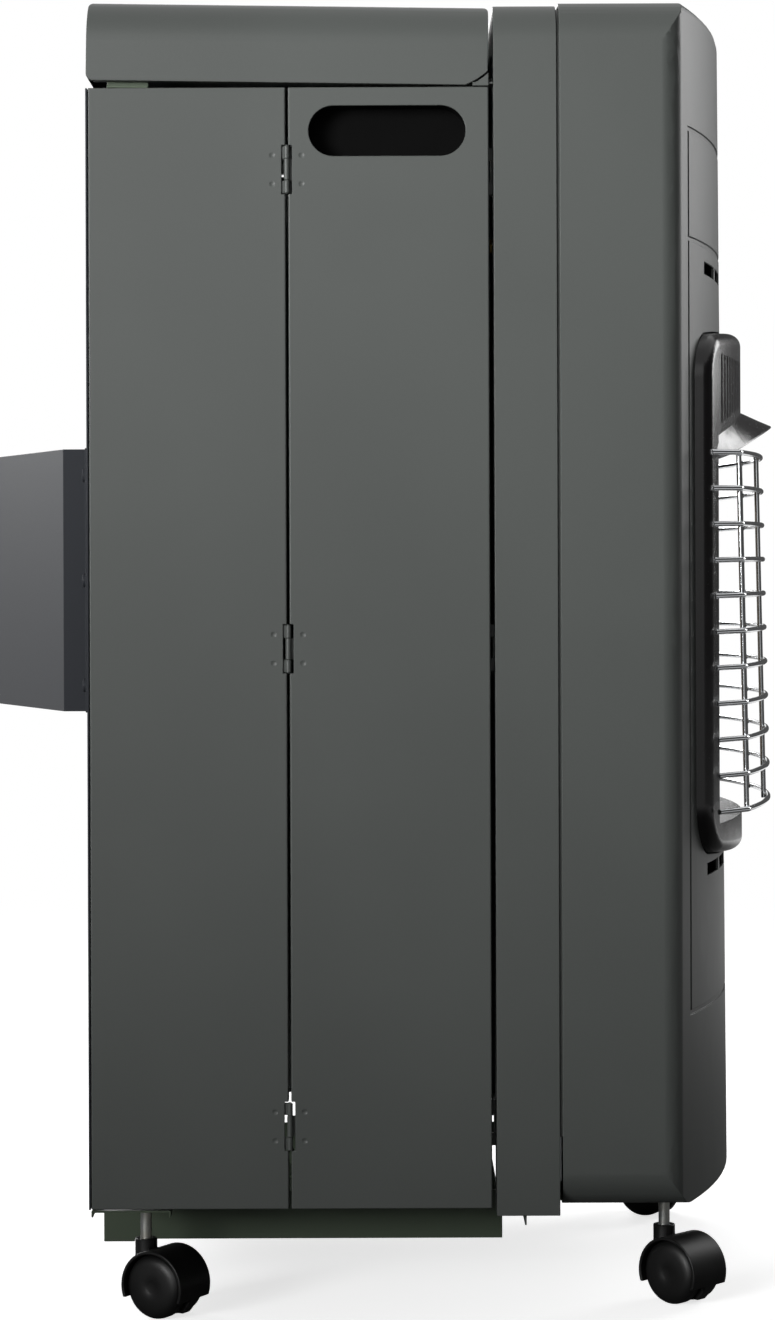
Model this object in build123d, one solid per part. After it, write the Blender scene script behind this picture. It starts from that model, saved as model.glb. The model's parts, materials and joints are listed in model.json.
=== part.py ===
from build123d import *
import math
import os

# Portable gas cabinet heater that folds flat. Millimetres, +Z up, front towards -Y, origin on the floor
# under the middle of the cabinet.

# ---------- driving dimensions ----------
HALF_W = 210.0  # half width over the painted shells
SHEET = 1.0  # painted sheet of the cabinet
SHELL_T = 1.6  # drawn sheet of the front shell
SHOULDER_R = 24.0  # rounded top shoulders
LEAF_T = 1.2  # hinge leaves and brackets
SKIN_GAP = 0.4  # running gap between painted panels

# front shell
SHELL_TOP = 742.5
SHELL_BOTTOM = 67.6
SHELL_REAR = -94.8
SHELL_BOTTOM_R = 20.0
CORNER_R = 13.0  # vertical front corners
BOW_X = HALF_W - 20.0  # half chord at which the bow is measured
BOW_Y = -168.0  # face at the chord ends
APEX_TOP_Y = -200.9  # middle of the bow, top
APEX_BOTTOM_Y = -205.0  # middle of the bow, bottom
TOP_EDGE_R = 7.0  # rounded edge between the top and the face
TOP_EDGE_STEPS = (0.0, 30.0, 60.0, 90.0)
GROOVE_W = 2.6
GROOVE_D = 0.9
GROOVE_X = BOW_X - 1.0  # border groove
GROOVE_ZS = (174.0, 610.0, 672.0)  # level grooves
VENT_H = 7.0
VENT_PITCH = (BOW_X - 58.0) / 3
VENT_W = VENT_PITCH - 6.0
VENT_ROWS = (597.0, 251.0)
VENT_COUNT = 7
FACE_LIP = 18.0  # floor lip of the shell
BASE_T = 1.5  # floor plate on that lip

# band behind the shell
BAND_FRONT = -93.2
BAND_REAR = -58.0
BAND_TOP = 741.0
BAND_BOTTOM = 63.9
REAR_FLANGE = 26.0
FRONT_FLANGE = 14.0
SPIGOT_DEPTH = 9.0
FOOT_X = HALF_W - 86.0  # the band's floor is open between its feet
LIP_Y = -73.6
LIP_DROP = 6.0

# side panels
PANEL_X = HALF_W - 1.4  # outer face
PANEL_FRONT = -55.4
SEAM_Y = 57.2
SEAM_GAP = 1.4
PANEL_REAR = 168.0
PANEL_BOTTOM = 68.0
PANEL_TOP = 692.8
RETURN = 10.5  # depth of the panel returns
HINGE_ZS = (647.0, 380.0, 114.0)
HINGE_LEN = 26.0
KNUCKLE_MID = HINGE_LEN / 3 + 3.0  # length of the middle knuckle
KNUCKLE_GAP = 0.3
MID_AXIS_X = PANEL_X + 0.5
MID_KNUCKLE_R = 1.6
EDGE_AXIS_X = HALF_W - 13.0
FRONT_AXIS_Y = -48.6
REAR_AXIS_Y = 2 * SEAM_Y - FRONT_AXIS_Y
EDGE_KNUCKLE_R = 2.2
MID_LEAF_REACH = 10.5
PIN_R = 0.9
PIN_CLEAR = 0.06
NOTCH_SIDE = 2.9  # from the mid axis to the notch edge
NOTCH_END = 0.6
DIMPLE_R = 4.0
DIMPLE_D = 0.45
DIMPLE_Y = 8.2
DIMPLE_Z = 8.0
HANDLE_Y = 1.3
HANDLE_Z = 668.5
HANDLE_L = 87.6
HANDLE_H = 28.1
CUP_X = HALF_W - 18.0  # bottom of the handle cup
CUP_WALL = 1.0
CUP_FLANGE = 3.0

# lid
LID_TOP = 740.4
LID_BOTTOM = 693.9
LID_FRONT = -55.4
LID_REAR = 168.5
LID_TILT = 0.9
LID_EDGE_R = 4.0
LID_PIVOT_Y = -29.0
LID_PIVOT_Z = 730.0
LID_ARC_R = 38.7
LID_WALL_X = HALF_W - 26.0  # half width of the lid's front wall
LID_HEM = 6.0
LID_REST_DROP = 3.5
LID_REST_Y = (134.0, 157.0)
LID_PIN_R = 3.0
LID_PIN_END = 3.5  # length of the pin past its arm's inner face, less one sheet
LID_ARM_X = HALF_W - 18.0
LID_ARM_T = 2.0
LID_ARM_HALF = 7.0
ARM_BOTTOM = PANEL_TOP + 1.5
ARM_H = 5.0

# rear body
REAR_FACE = PANEL_REAR + SKIN_GAP
REAR_BOTTOM = 67.6
BULGE_Z0 = 344.7
BULGE_Z1 = 492.4
BULGE_FLANGE_X = HALF_W - 5.0
BULGE_STEP_X = BULGE_FLANGE_X - 18.0
BULGE_STEP_Y = 184.5
BULGE_FLAT_X = BULGE_STEP_X - 116.0
BULGE_BACK = 235.0
BULGE_FLANGE_T = 1.2
BULGE_HOLE_X = BULGE_STEP_X - 7.0
CHANNEL_FRONT = 124.0
CHANNEL_SINK = 1.6  # from the side panels' lower edge to the channel plate
CHANNEL_DROP = 3.6
CHANNEL_LAP = 9.0  # height of its flange on the rear panel
CHANNEL_X = HALF_W - 5.0
STIFFENER = 4.0  # depth of the rear panel's top return, clear of the folded sides
REAR_VENT_ZS = (110.0, 126.0, 142.0)
REAR_VENT_L = 60.0
REAR_VENT_H = 5.0
REAR_VENT_XS = (-140.0, -47.0, 47.0, 140.0)

# bottle tray
TRAY_X = FOOT_X - 6.0
TRAY_FRONT = -64.0
TRAY_REAR = 169.0
TRAY_BOTTOM = 33.0
TRAY_TOP = 61.0
TRAY_SHEET = 1.2
TRAY_RIB_X = 70.0
TRAY_RIB_H = 1.5
TRAY_PIVOT_Y = -86.5
TRAY_PIVOT_Z = 61.0
TRAY_ARM_R = 5.0
TRAY_PIN_R = 2.5
TRAY_WAY = 3.0  # room beside the tray as it folds up past the rear body
TRAY_WAY_TOP = 100.0
TRAY_TAB = 18.0
TRAY_TAB_DROP = 1.5

# casters
WHEEL_R = 18.2
WHEEL_W = 11.0
WHEEL_GAP = 4.0  # half gap between the two wheels
AXLE_R = 3.0
TRAIL = 13.5
STEM_R = 3.25
HOOD_TOP = 38.8
NECK_TOP = 43.0
NECK_R = 6.3
STEM_BOTTOM = 31.8
NUT_R = 6.75
NUT_H = 3.0
FLANGE_R = 4.2  # small flange of the rear stems
FLANGE_T = 1.2
STEM_CLEAR = 0.06
FENDER_R = 20.6
FENDER_T = 1.8
FENDER_DROP = 7.0  # how far the hood reaches below the axle
WHEEL_CLEAR = 0.6
WHEEL_EDGE_R = 1.5  # inner edge of the tread
WHEEL_FACE_R = 3.0  # outer edge of the tread
FRONT_CASTER = (HALF_W - 82.0, -157.8)
REAR_CASTER = (HALF_W - 48.0, 141.0)
# angle of the trail from +X for each caster, as the wheels stand at rest
CASTER_TRAILS = {
    "front_left": 226.0,
    "front_right": 240.0,
    "rear_left": 239.0,
    "rear_right": 228.0,
}

# window group
BEZEL_X = HALF_W - 34.0
BEZEL_BACK = -166.0
BEZEL_EDGE_Y = -182.0
BEZEL_Z0 = 255.0  # lowest point of the outline
BEZEL_Z1 = 566.0  # highest point of the outline
BEZEL_ARCH = 10.0  # bow of the outline's top
BEZEL_SAG = 8.0  # bow of the outline's bottom
BEZEL_TOP_R = 26.0
BEZEL_LOW_R = 30.0
BEZEL_APEX = -215.0  # middle of the bowed face
BEZEL_EDGE_R = 7.0
BEZEL_T = 2.0
BEZEL_OVER = 4.0  # how far the bowed face runs on before it is cut to the outline
WINDOW_X = BEZEL_X - 16.0
SILL_TOP = 278.0
HOOD_BOTTOM = 500.0
HOOD_ARCH = 19.0
LOUVRE_W = 3.4
LOUVRE_COUNT = 39
LOUVRE_PITCH = 2 * (WINDOW_X - 8.0) / (LOUVRE_COUNT - 1)
LOUVRE_TOP = 547.0
LOUVRE_LIFT = 6.0  # above the arched lower edge of the hood
VISOR_X = BEZEL_X - 8.0
VISOR_STEPS = 16
VISOR_TIP = -235.0
VISOR_T = 2.0
VISOR_LIP = 0.4  # half thickness at the tip
VISOR_DROP_END = 16.0
VISOR_DROP_MID = 9.0
GUARD_WIRE_R = 1.5
GUARD_ROOT = (BEZEL_X - 1.5, -182.1)
GUARD_BEND = (BEZEL_X - 20.0, -200.5)
GUARD_APEX = -227.0
GUARD_Z0 = 285.7
GUARD_PITCH = 20.45
GUARD_ROWS = 11
GUARD_POSTS = (28.0 - BEZEL_X, -45.0, 45.0, BEZEL_X - 28.0)
GUARD_LEAN = 1.1
GUARD_WELD = 0.4  # how far the upright wires are sunk into the level ones
GUARD_BEND_R = 6.0

# burner
BURNER_Z = 388.0
PLAQUE_H = 136.0
PLAQUE_T = 12.0
PLAQUE_EDGE = 3.0  # how far the rear plate laps over each plaque
EAR_HALF = 30.0
PLAQUE_Y = -150.0  # rear plate of the reflector box, front face
BOX_FRONT_Y = -180.0
BOX_FRONT_X = WINDOW_X - 1.5
BOX_FRONT_H = 208.0
BOX_REAR_X = WINDOW_X - 4.0
PLAQUE_PITCH = 2 * BOX_REAR_X / 3
PLAQUE_W = PLAQUE_PITCH - 8.0
BOX_REAR_H = 150.0
BOX_T = 0.8
BODY_DEPTH = 22.0
BODY_T = 1.5
TUBE_R = 9.0
TUBE_T = 1.2
TUBE_LIFT = 7.0  # open way between the gas rail and a mixing tube
AIR_PORT_R = 5.0
RAIL_Z = 250.0
RAIL_Y = -126.0
RAIL_R = 5.0
RAIL_FOOT_X = 60.0
JET_R = 3.0
JET_HOLE_R = 0.6
SHIELD_T = 1.0
SHIELD_Z0 = 82.0
SHIELD_INSET = 3.0
SCREW_R = 2.0
SCREW_HEAD_R = 4.0
SCREW_HEAD_H = 2.2
SLOT_FLOOR = 1.2  # height of a screw slot's floor above the sheet
SLOT_HALF = 0.5
CROSS_REACH = 2.4

# controls and gas way
WELL_X1 = HALF_W - 38.0
WELL_X0 = WELL_X1 - 110.0
WELL_Y0 = -150.0
WELL_Y1 = -104.0
WELL_R = 8.0
WELL_DEPTH = 23.0
WELL_T = 1.0
WELL_FLANGE = 3.0
WELL_FLANGE_T = 0.8
KNOB_X = WELL_X1 - 34.0
CTRL_Y = -127.0
KNOB_R = 17.0
KNOB_H = 17.0
KNOB_TRAVEL = 4.0
KNOB_FLUTES = 24
KNOB_FLUTE_R = 1.1
KNOB_MARK_W = 1.4
KNOB_MARK_L = 9.0
KNOB_MARK_D = 0.8
SPINDLE_R = 4.0
COLLAR_H = 3.0
BUTTON_X = WELL_X0 + 26.0
BUTTON_R = 7.0
BUTTON_TRAVEL = 6.0
BUTTON_H = 11.0
BUTTON_STEM_R = 3.5
PIEZO_R = 9.0
PIEZO_L = 46.0
VALVE_TOP = 702.0
VALVE_H = 48.0
VALVE_HALF = 15.0
INLET_X = KNOB_X + 12.0
INLET_Z = 640.0
NOZZLE_R = 4.5
NOZZLE_L = 22.0
PIPE_R = 3.0
THIN_R = 1.6
FIT = 0.05  # radial running clearance of a shaft


# ---------- helpers ----------
def block(x0, x1, y0, y1, z0, z1):
    centre = Pos((x0 + x1) / 2, (y0 + y1) / 2, (z0 + z1) / 2)
    return centre * Box(abs(x1 - x0), abs(y1 - y0), abs(z1 - z0))


def rod_x(x0, x1, y, z, r):
    return Pos((x0 + x1) / 2, y, z) * Rot(0, 90, 0) * Cylinder(r, abs(x1 - x0))


def rod_y(x, y0, y1, z, r):
    return Pos(x, (y0 + y1) / 2, z) * Rot(90, 0, 0) * Cylinder(r, abs(y1 - y0))


def rod_z(x, y, z0, z1, r):
    return Pos(x, y, (z0 + z1) / 2) * Cylinder(r, abs(z1 - z0))


def mirrored(shape):
    return mirror(shape, about=Plane.YZ)


def both_sides(shape):
    return Compound([shape, mirrored(shape)])


def fused(shapes):
    shapes = list(shapes)
    return shapes[0].fuse(*shapes[1:]) if len(shapes) > 1 else shapes[0]


def save(name, *shapes):
    solids = [s for shape in shapes for s in shape.solids()]
    whole = solids[0] if len(solids) == 1 else Compound(solids)
    whole.label = name
    export_step(whole, f"parts/{name}.step")


def arc_sketch(points, arcs):
    """A face from corner points in order; arcs maps the index of a side's start to its mid point."""
    edges = []
    for i, a in enumerate(points):
        b = points[(i + 1) % len(points)]
        edges.append(ThreePointArc(a, arcs[i], b) if i in arcs else Line(a, b))
    return make_face(edges)


def elevation(half_w, z0, z1, r_top, y0, y1, r_bottom=0.0):
    """Front outline with rounded shoulders, drawn out from y0 to y1."""
    s = math.sqrt(0.5)
    top = z1 - r_top
    pts = [(half_w, 0, z0 + r_bottom), (half_w, 0, top), (half_w - r_top, 0, z1), (r_top - half_w, 0, z1)]
    pts += [(-half_w, 0, top), (-half_w, 0, z0 + r_bottom)]
    k = half_w - r_top * (1 - s)
    arcs = {1: (k, 0, z1 - r_top * (1 - s)), 3: (-k, 0, z1 - r_top * (1 - s))}
    if r_bottom:
        b = half_w - r_bottom * (1 - s)
        low = z0 + r_bottom * (1 - s)
        pts += [(r_bottom - half_w, 0, z0), (half_w - r_bottom, 0, z0)]
        arcs[5] = (-b, 0, low)
        arcs[7] = (b, 0, low)
    face = arc_sketch(pts, arcs)
    return Pos(0, y0, 0) * extrude(face, amount=y1 - y0, dir=(0, 1, 0))


def stadium_x(x0, x1, y, z, length, height):
    """A lying stadium drawn out along X."""
    r = height / 2
    half = length / 2 - r
    mid = block(x0, x1, y - half, y + half, z - r, z + r)
    return fused([mid, rod_x(x0, x1, y - half, z, r), rod_x(x0, x1, y + half, z, r)])


def bow_radius(half_chord, sagitta):
    return (half_chord**2 + sagitta**2) / (2 * sagitta)


def bow_y(x, half_chord, end_y, apex_y):
    """Face position on an arc through (+-half_chord, end_y) and (0, apex_y)."""
    r = bow_radius(half_chord, end_y - apex_y)
    return apex_y + r - math.sqrt(r * r - x * x)


def pipe(points, bend, r):
    path = FilletPolyline(*points, radius=bend)
    start = Plane(origin=path @ 0, z_dir=path % 0)
    return sweep(start * Circle(r), path=path)


# ---------- front shell ----------
def shell_plan(inset, z, apex):
    """Plan outline of the shell at one height, moved inwards by inset."""
    big = bow_radius(BOW_X, BOW_Y - apex)
    centre_y = apex + big
    big -= inset
    r = CORNER_R - inset
    w = HALF_W - inset
    cx = w - r
    cy = centre_y - math.sqrt((big - r) ** 2 - cx**2)
    reach = big / (big - r)
    tx = cx * reach
    ty = centre_y + (cy - centre_y) * reach
    half_turn = (math.atan2(ty - cy, tx - cx)) / 2
    mx = cx + r * math.cos(half_turn)
    my = cy + r * math.sin(half_turn)
    pts = [(w, SHELL_REAR, z), (w, cy, z), (tx, ty, z), (-tx, ty, z), (-w, cy, z), (-w, SHELL_REAR, z)]
    arcs = {1: (mx, my, z), 2: (0, apex + inset, z), 3: (-mx, my, z)}
    return arc_sketch(pts, arcs)


def shell_mass(inset):
    """The shell's solid shape, moved inwards by inset. Its face leans a little and its top edge is round."""
    rate = (APEX_TOP_Y - APEX_BOTTOM_Y) / (SHELL_TOP - SHELL_BOTTOM)
    low = SHELL_BOTTOM + inset
    round_r = TOP_EDGE_R - inset
    stations = [(low, inset)]
    for degrees in TOP_EDGE_STEPS:
        a = math.radians(degrees)
        stations.append((SHELL_TOP - TOP_EDGE_R + round_r * math.sin(a), inset + round_r * (1 - math.cos(a))))
    faces = [shell_plan(move, z, APEX_BOTTOM_Y + rate * (z - SHELL_BOTTOM)) for z, move in stations]
    body = loft(faces, ruled=True)
    deep = APEX_BOTTOM_Y - 5
    outline = elevation(
        HALF_W - inset,
        low,
        SHELL_TOP - inset,
        SHOULDER_R - inset,
        deep,
        SHELL_REAR,
        SHELL_BOTTOM_R - inset,
    )
    return body & outline


def groove_cutter():
    """Border and level grooves, one groove depth into the face."""
    half = GROOVE_W / 2
    z0, z1 = GROOVE_ZS[0], GROOVE_ZS[-1]
    deep = APEX_BOTTOM_Y - 5
    bars = [block(-GROOVE_X - half, GROOVE_X + half, deep, BOW_Y + 4, z - half, z + half) for z in GROOVE_ZS]
    for side in (-1, 1):
        x = side * GROOVE_X
        bars.append(block(x - half, x + half, deep, BOW_Y + 4, z0, z1))
    return fused(bars)


def bowed_corner(half, mid_z, sag, r):
    """Where a corner of radius r meets a vertical side and a bowed edge: centre, tangent point, mid point."""
    big = bow_radius(half, sag)
    centre_z = mid_z - big
    cx = half - r
    cz = centre_z + math.sqrt((big - r) ** 2 - cx**2)
    reach = big / (big - r)
    tx = cx * reach
    tz = centre_z + (cz - centre_z) * reach
    turn = math.atan2(tz - cz, tx - cx) / 2
    return cz, (tx, tz), (cx + r * math.cos(turn), cz + r * math.sin(turn))


def window_hole(grow):
    """Outline of the bezel, grown by a clearance, drawn out through the face."""
    half = BEZEL_X + grow
    top_z, (tx, tz), (mx, mz) = bowed_corner(half, BEZEL_Z1 + grow, BEZEL_ARCH, BEZEL_TOP_R + grow)
    low_z, (bx, bz), (nx, nz) = bowed_corner(half, grow - BEZEL_Z0, BEZEL_SAG, BEZEL_LOW_R + grow)
    pts = [(half, 0, -low_z), (half, 0, top_z), (tx, 0, tz), (-tx, 0, tz)]
    pts += [(-half, 0, top_z), (-half, 0, -low_z), (-bx, 0, -bz), (bx, 0, -bz)]
    arcs = {1: (mx, 0, mz), 2: (0, 0, BEZEL_Z1 + grow), 3: (-mx, 0, mz)}
    arcs[5] = (-nx, 0, -nz)
    arcs[6] = (0, 0, BEZEL_Z0 - grow)
    arcs[7] = (nx, 0, -nz)
    deep = BEZEL_APEX - 6
    return Pos(0, deep, 0) * extrude(arc_sketch(pts, arcs), amount=BEZEL_BACK + 4 - deep, dir=(0, 1, 0))


def vent_xs():
    return [(i - (VENT_COUNT - 1) / 2) * VENT_PITCH for i in range(VENT_COUNT)]


def well_opening(grow, z0, z1):
    centre = Pos((WELL_X0 + WELL_X1) / 2, (WELL_Y0 + WELL_Y1) / 2, z0)
    size = RectangleRounded(WELL_X1 - WELL_X0 + 2 * grow, WELL_Y1 - WELL_Y0 + 2 * grow, WELL_R + grow)
    return centre * extrude(size, amount=z1 - z0)


def front_shell():
    outer = shell_mass(0)
    rim = groove_cutter() & (outer - shell_mass(GROOVE_D))
    shell = outer - shell_mass(SHELL_T) - rim
    shell -= window_hole(0.8)
    inner_x = HALF_W - FACE_LIP
    floor_front = BOW_Y + FACE_LIP
    floor_z = SHELL_BOTTOM
    shell -= block(-inner_x, inner_x, floor_front, SHELL_REAR + 1, floor_z - 1, floor_z + SHELL_T + 1)
    half_w, half_h = VENT_W / 2, VENT_H / 2
    for z in VENT_ROWS:
        for x in vent_xs():
            shell -= block(x - half_w, x + half_w, BEZEL_APEX, BOW_Y + 8, z - half_h, z + half_h)
    shell -= well_opening(0, SHELL_TOP - 5, SHELL_TOP + 1)
    for side in (-1, 1):
        shell -= rod_z(side * FRONT_CASTER[0], FRONT_CASTER[1], SHELL_BOTTOM - 1, SHELL_BOTTOM + 4, STEM_R)
    save("front_shell", shell)


# ---------- band, shield and floor of the front body ----------
def mid_frame():
    outer = elevation(HALF_W, BAND_BOTTOM, BAND_TOP, SHOULDER_R, BAND_FRONT, BAND_REAR)
    inner_r = SHOULDER_R - SHEET
    hollow = elevation(
        HALF_W - SHEET,
        BAND_BOTTOM + SHEET,
        BAND_TOP - SHEET,
        inner_r,
        BAND_FRONT + SHEET,
        BAND_REAR - SHEET,
    )
    front_hole = elevation(
        HALF_W - FRONT_FLANGE,
        BAND_BOTTOM + FRONT_FLANGE,
        BAND_TOP - FRONT_FLANGE,
        SHOULDER_R - FRONT_FLANGE / 2,
        BAND_FRONT - 1,
        BAND_FRONT + SHEET + 1,
    )
    rear_hole = elevation(
        HALF_W - REAR_FLANGE,
        BAND_BOTTOM - 1,
        BAND_TOP - REAR_FLANGE,
        SHOULDER_R / 3,
        BAND_REAR - SHEET - 1,
        BAND_REAR + 1,
    )
    ring = outer - hollow - front_hole - rear_hole
    open_top = BAND_BOTTOM + FRONT_FLANGE + 1
    ring -= block(-FOOT_X, FOOT_X, BAND_FRONT - 1, BAND_REAR + 1, BAND_BOTTOM - 1, open_top)
    slip = SHELL_T + 0.2
    spigot_front = BAND_FRONT - SPIGOT_DEPTH
    spigot = elevation(
        HALF_W - slip,
        SHELL_BOTTOM + slip,
        BAND_TOP - slip,
        SHOULDER_R - slip,
        spigot_front,
        BAND_FRONT,
        SHELL_BOTTOM_R - slip,
    )
    spigot -= elevation(
        HALF_W - slip - SHEET,
        SHELL_BOTTOM + slip + SHEET,
        BAND_TOP - slip - SHEET,
        SHOULDER_R - slip - SHEET,
        spigot_front - 1,
        BAND_FRONT + 1,
        SHELL_BOTTOM_R - slip - SHEET,
    )
    spigot -= block(-HALF_W, HALF_W, spigot_front - 1, BAND_FRONT + 1, SHELL_BOTTOM, SHELL_BOTTOM + 40)
    lip = block(FOOT_X, HALF_W - 4, LIP_Y - SHEET, LIP_Y, BAND_BOTTOM - LIP_DROP, BAND_BOTTOM)
    band = fused([ring, spigot, lip, mirrored(lip)])
    for x, z in shield_screw_places():
        band -= rod_y(x, BAND_FRONT - 1, BAND_FRONT + SHEET + 1, z, SCREW_R)
    save("mid_frame", band)


def base_z():
    return SHELL_BOTTOM + SHELL_T


def front_base_plate():
    """Floor plate on the shell's lip, with a rear upstand against the band and holes for the stems."""
    z0 = base_z()
    half = HALF_W - SHELL_BOTTOM_R
    front = BOW_Y + 6
    plate = block(-half, half, front, SHELL_REAR, z0, z0 + BASE_T)
    for side in (-1, 1):
        x, y = side * FRONT_CASTER[0], FRONT_CASTER[1]
        plate -= rod_z(x, y, z0 - 1, z0 + 3, STEM_R)
    upstand = block(-half, half, SHELL_REAR, BAND_FRONT - SHIELD_T, z0, z0 + 24)
    save("front_base_plate", fused([plate, upstand]))


def shield_screw_places():
    x = HALF_W - FRONT_FLANGE / 2
    side = [(s * x, z) for s in (-1, 1) for z in (140.0, 300.0, 460.0, 620.0)]
    return side


def heat_shield():
    """Plate that closes the burner space towards the bottle."""
    y1 = BAND_FRONT
    plate = elevation(
        HALF_W - SHELL_T - SHEET - SHIELD_INSET,
        SHIELD_Z0,
        BAND_TOP - SHELL_T - SHEET - SHIELD_INSET,
        SHOULDER_R - SHELL_T - SHEET,
        y1 - SHIELD_T,
        y1,
    )
    for x, z in shield_screw_places():
        plate -= rod_y(x, y1 - SHIELD_T - 1, y1 + 1, z, SCREW_R)
    plate -= rod_y(INLET_X, y1 - SHIELD_T - 1, y1 + 1, INLET_Z, NOZZLE_R + 1)
    save("heat_shield", plate)


def shield_screws():
    screws = []
    r = SCREW_HEAD_R
    for x, z in shield_screw_places():
        face = BAND_FRONT + SHEET
        head = rod_y(x, face, face + SCREW_HEAD_H, z, SCREW_HEAD_R)
        shank = rod_y(x, BAND_FRONT - SHIELD_T - 5, face, z, SCREW_R)
        slot = block(x - r, x + r, face + SLOT_FLOOR, face + SCREW_HEAD_H + 1, z - SLOT_HALF, z + SLOT_HALF)
        screws.append(fused([head, shank]) - slot)
    save("shield_screws", *screws)


# ---------- window group ----------
def face_prism(apex, end_y, back, z0, z1):
    """Solid between a flat back and a bowed face, a little wider than the bezel."""
    half = BEZEL_X + BEZEL_OVER
    side_y = bow_y(half, BEZEL_X, end_y, apex)
    pts = [(half, back, z0), (half, side_y, z0), (-half, side_y, z0), (-half, back, z0)]
    face = arc_sketch(pts, {1: (0, apex, z0)})
    return extrude(face, amount=z1 - z0, dir=(0, 0, 1))


def window_cut(grow):
    """The window's opening with its arched top, grown by a wall, drawn out through the bezel."""
    half = WINDOW_X + grow
    z_end = HOOD_BOTTOM + grow
    low = SILL_TOP - grow
    pts = [(half, 0, z_end), (-half, 0, z_end), (-half, 0, low), (half, 0, low)]
    face = arc_sketch(pts, {0: (0, 0, z_end + HOOD_ARCH)})
    return Pos(0, BEZEL_APEX - 10, 0) * extrude(face, amount=90, dir=(0, 1, 0))


def louvre_xs():
    return [(i - (LOUVRE_COUNT - 1) / 2) * LOUVRE_PITCH for i in range(LOUVRE_COUNT)]


def arch_z(x):
    """Lower edge of the hood at x."""
    r = bow_radius(WINDOW_X, HOOD_ARCH)
    return HOOD_BOTTOM + HOOD_ARCH - r + math.sqrt(r * r - x * x)


def bezel_mass(inset):
    """The bezel as one solid, moved inwards by inset, with its front outline rounded."""
    edge = BEZEL_EDGE_Y + inset
    face = face_prism(BEZEL_APEX + inset, edge, BEZEL_BACK + inset, BEZEL_Z0 - 1, BEZEL_Z1 + 1)
    body = face & window_hole(-inset)
    outline = [e for e in body.edges() if e.center().Y < edge - 0.05]
    return fillet(outline, BEZEL_EDGE_R - inset)


def bezel_solid():
    bezel = bezel_mass(0) - (bezel_mass(BEZEL_T) - window_cut(BEZEL_T)) - window_cut(0)
    for x in louvre_xs():
        front = bow_y(x, BEZEL_X, BEZEL_EDGE_Y, BEZEL_APEX)
        z0 = arch_z(x) + LOUVRE_LIFT
        bezel -= block(x - LOUVRE_W / 2, x + LOUVRE_W / 2, front - 2, front + 6, z0, LOUVRE_TOP)
    return bezel


def window_bezel():
    save("window_bezel", bezel_solid())


def visor_section(x):
    """One lengthwise station of the visor: root on the hood, tip in front of and below it."""
    t = (x / VISOR_X) ** 2
    root_y = bow_y(x, BEZEL_X, BEZEL_EDGE_Y, BEZEL_APEX) + 1.0
    root_z = arch_z(min(abs(x), WINDOW_X)) + 1.5
    tip_y = VISOR_TIP + (BEZEL_EDGE_Y - 3 - VISOR_TIP) * t
    drop = VISOR_DROP_MID + (VISOR_DROP_END - VISOR_DROP_MID) * t
    tip_z = root_z - drop
    lip = VISOR_LIP
    pts = [(x, root_y, root_z), (x, tip_y, tip_z + lip), (x, tip_y, tip_z - lip)]
    pts.append((x, root_y, root_z - VISOR_T))
    if abs(x) >= VISOR_X:
        pts[2] = (x, tip_y, tip_z)
        pts[3] = (x, root_y + 1, root_z - VISOR_T)
    return make_face([Line(pts[i], pts[(i + 1) % 4]) for i in range(4)])


def visor():
    xs = [VISOR_X * (2 * i / VISOR_STEPS - 1) for i in range(VISOR_STEPS + 1)]
    save("visor", loft([visor_section(x) for x in xs], ruled=True) - bezel_solid())


def guard_bend():
    """Where the bend meets the straight end, its middle, and where it meets the bow, seen from above."""
    (rx, ry), (bx, by) = GUARD_ROOT, GUARD_BEND
    big = bow_radius(bx, by - GUARD_APEX)
    cy = GUARD_APEX + big
    length = math.hypot(rx - bx, ry - by)
    ux, uy = (rx - bx) / length, (ry - by) / length
    r = GUARD_BEND_R
    px, py = bx - r * uy, by + r * ux - cy
    along = px * ux + py * uy
    s = -along - math.sqrt(along**2 - (px**2 + py**2 - (big - r) ** 2))
    centre = (px + s * ux, py + s * uy + cy)
    on_line = (centre[0] + r * uy, centre[1] - r * ux)
    reach = big / (big - r)
    on_bow = (centre[0] * reach, cy + (centre[1] - cy) * reach)
    out_x = on_line[0] + on_bow[0] - 2 * centre[0]
    out_y = on_line[1] + on_bow[1] - 2 * centre[1]
    k = r / math.hypot(out_x, out_y)
    return on_line, (centre[0] + out_x * k, centre[1] + out_y * k), on_bow


def guard_row(z):
    """One level wire: straight ends to the bezel, a bend each side and a bowed middle."""
    rx, ry = GUARD_ROOT
    (lx, ly), (mx, my), (tx, ty) = guard_bend()
    path = Wire(
        [
            Line((-rx, ry, z), (-lx, ly, z)),
            ThreePointArc((-lx, ly, z), (-mx, my, z), (-tx, ty, z)),
            ThreePointArc((-tx, ty, z), (0, GUARD_APEX, z), (tx, ty, z)),
            ThreePointArc((tx, ty, z), (mx, my, z), (lx, ly, z)),
            Line((lx, ly, z), (rx, ry, z)),
        ]
    )
    start = Plane(origin=path @ 0, z_dir=path % 0)
    return sweep(start * Circle(GUARD_WIRE_R), path=path)


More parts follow.
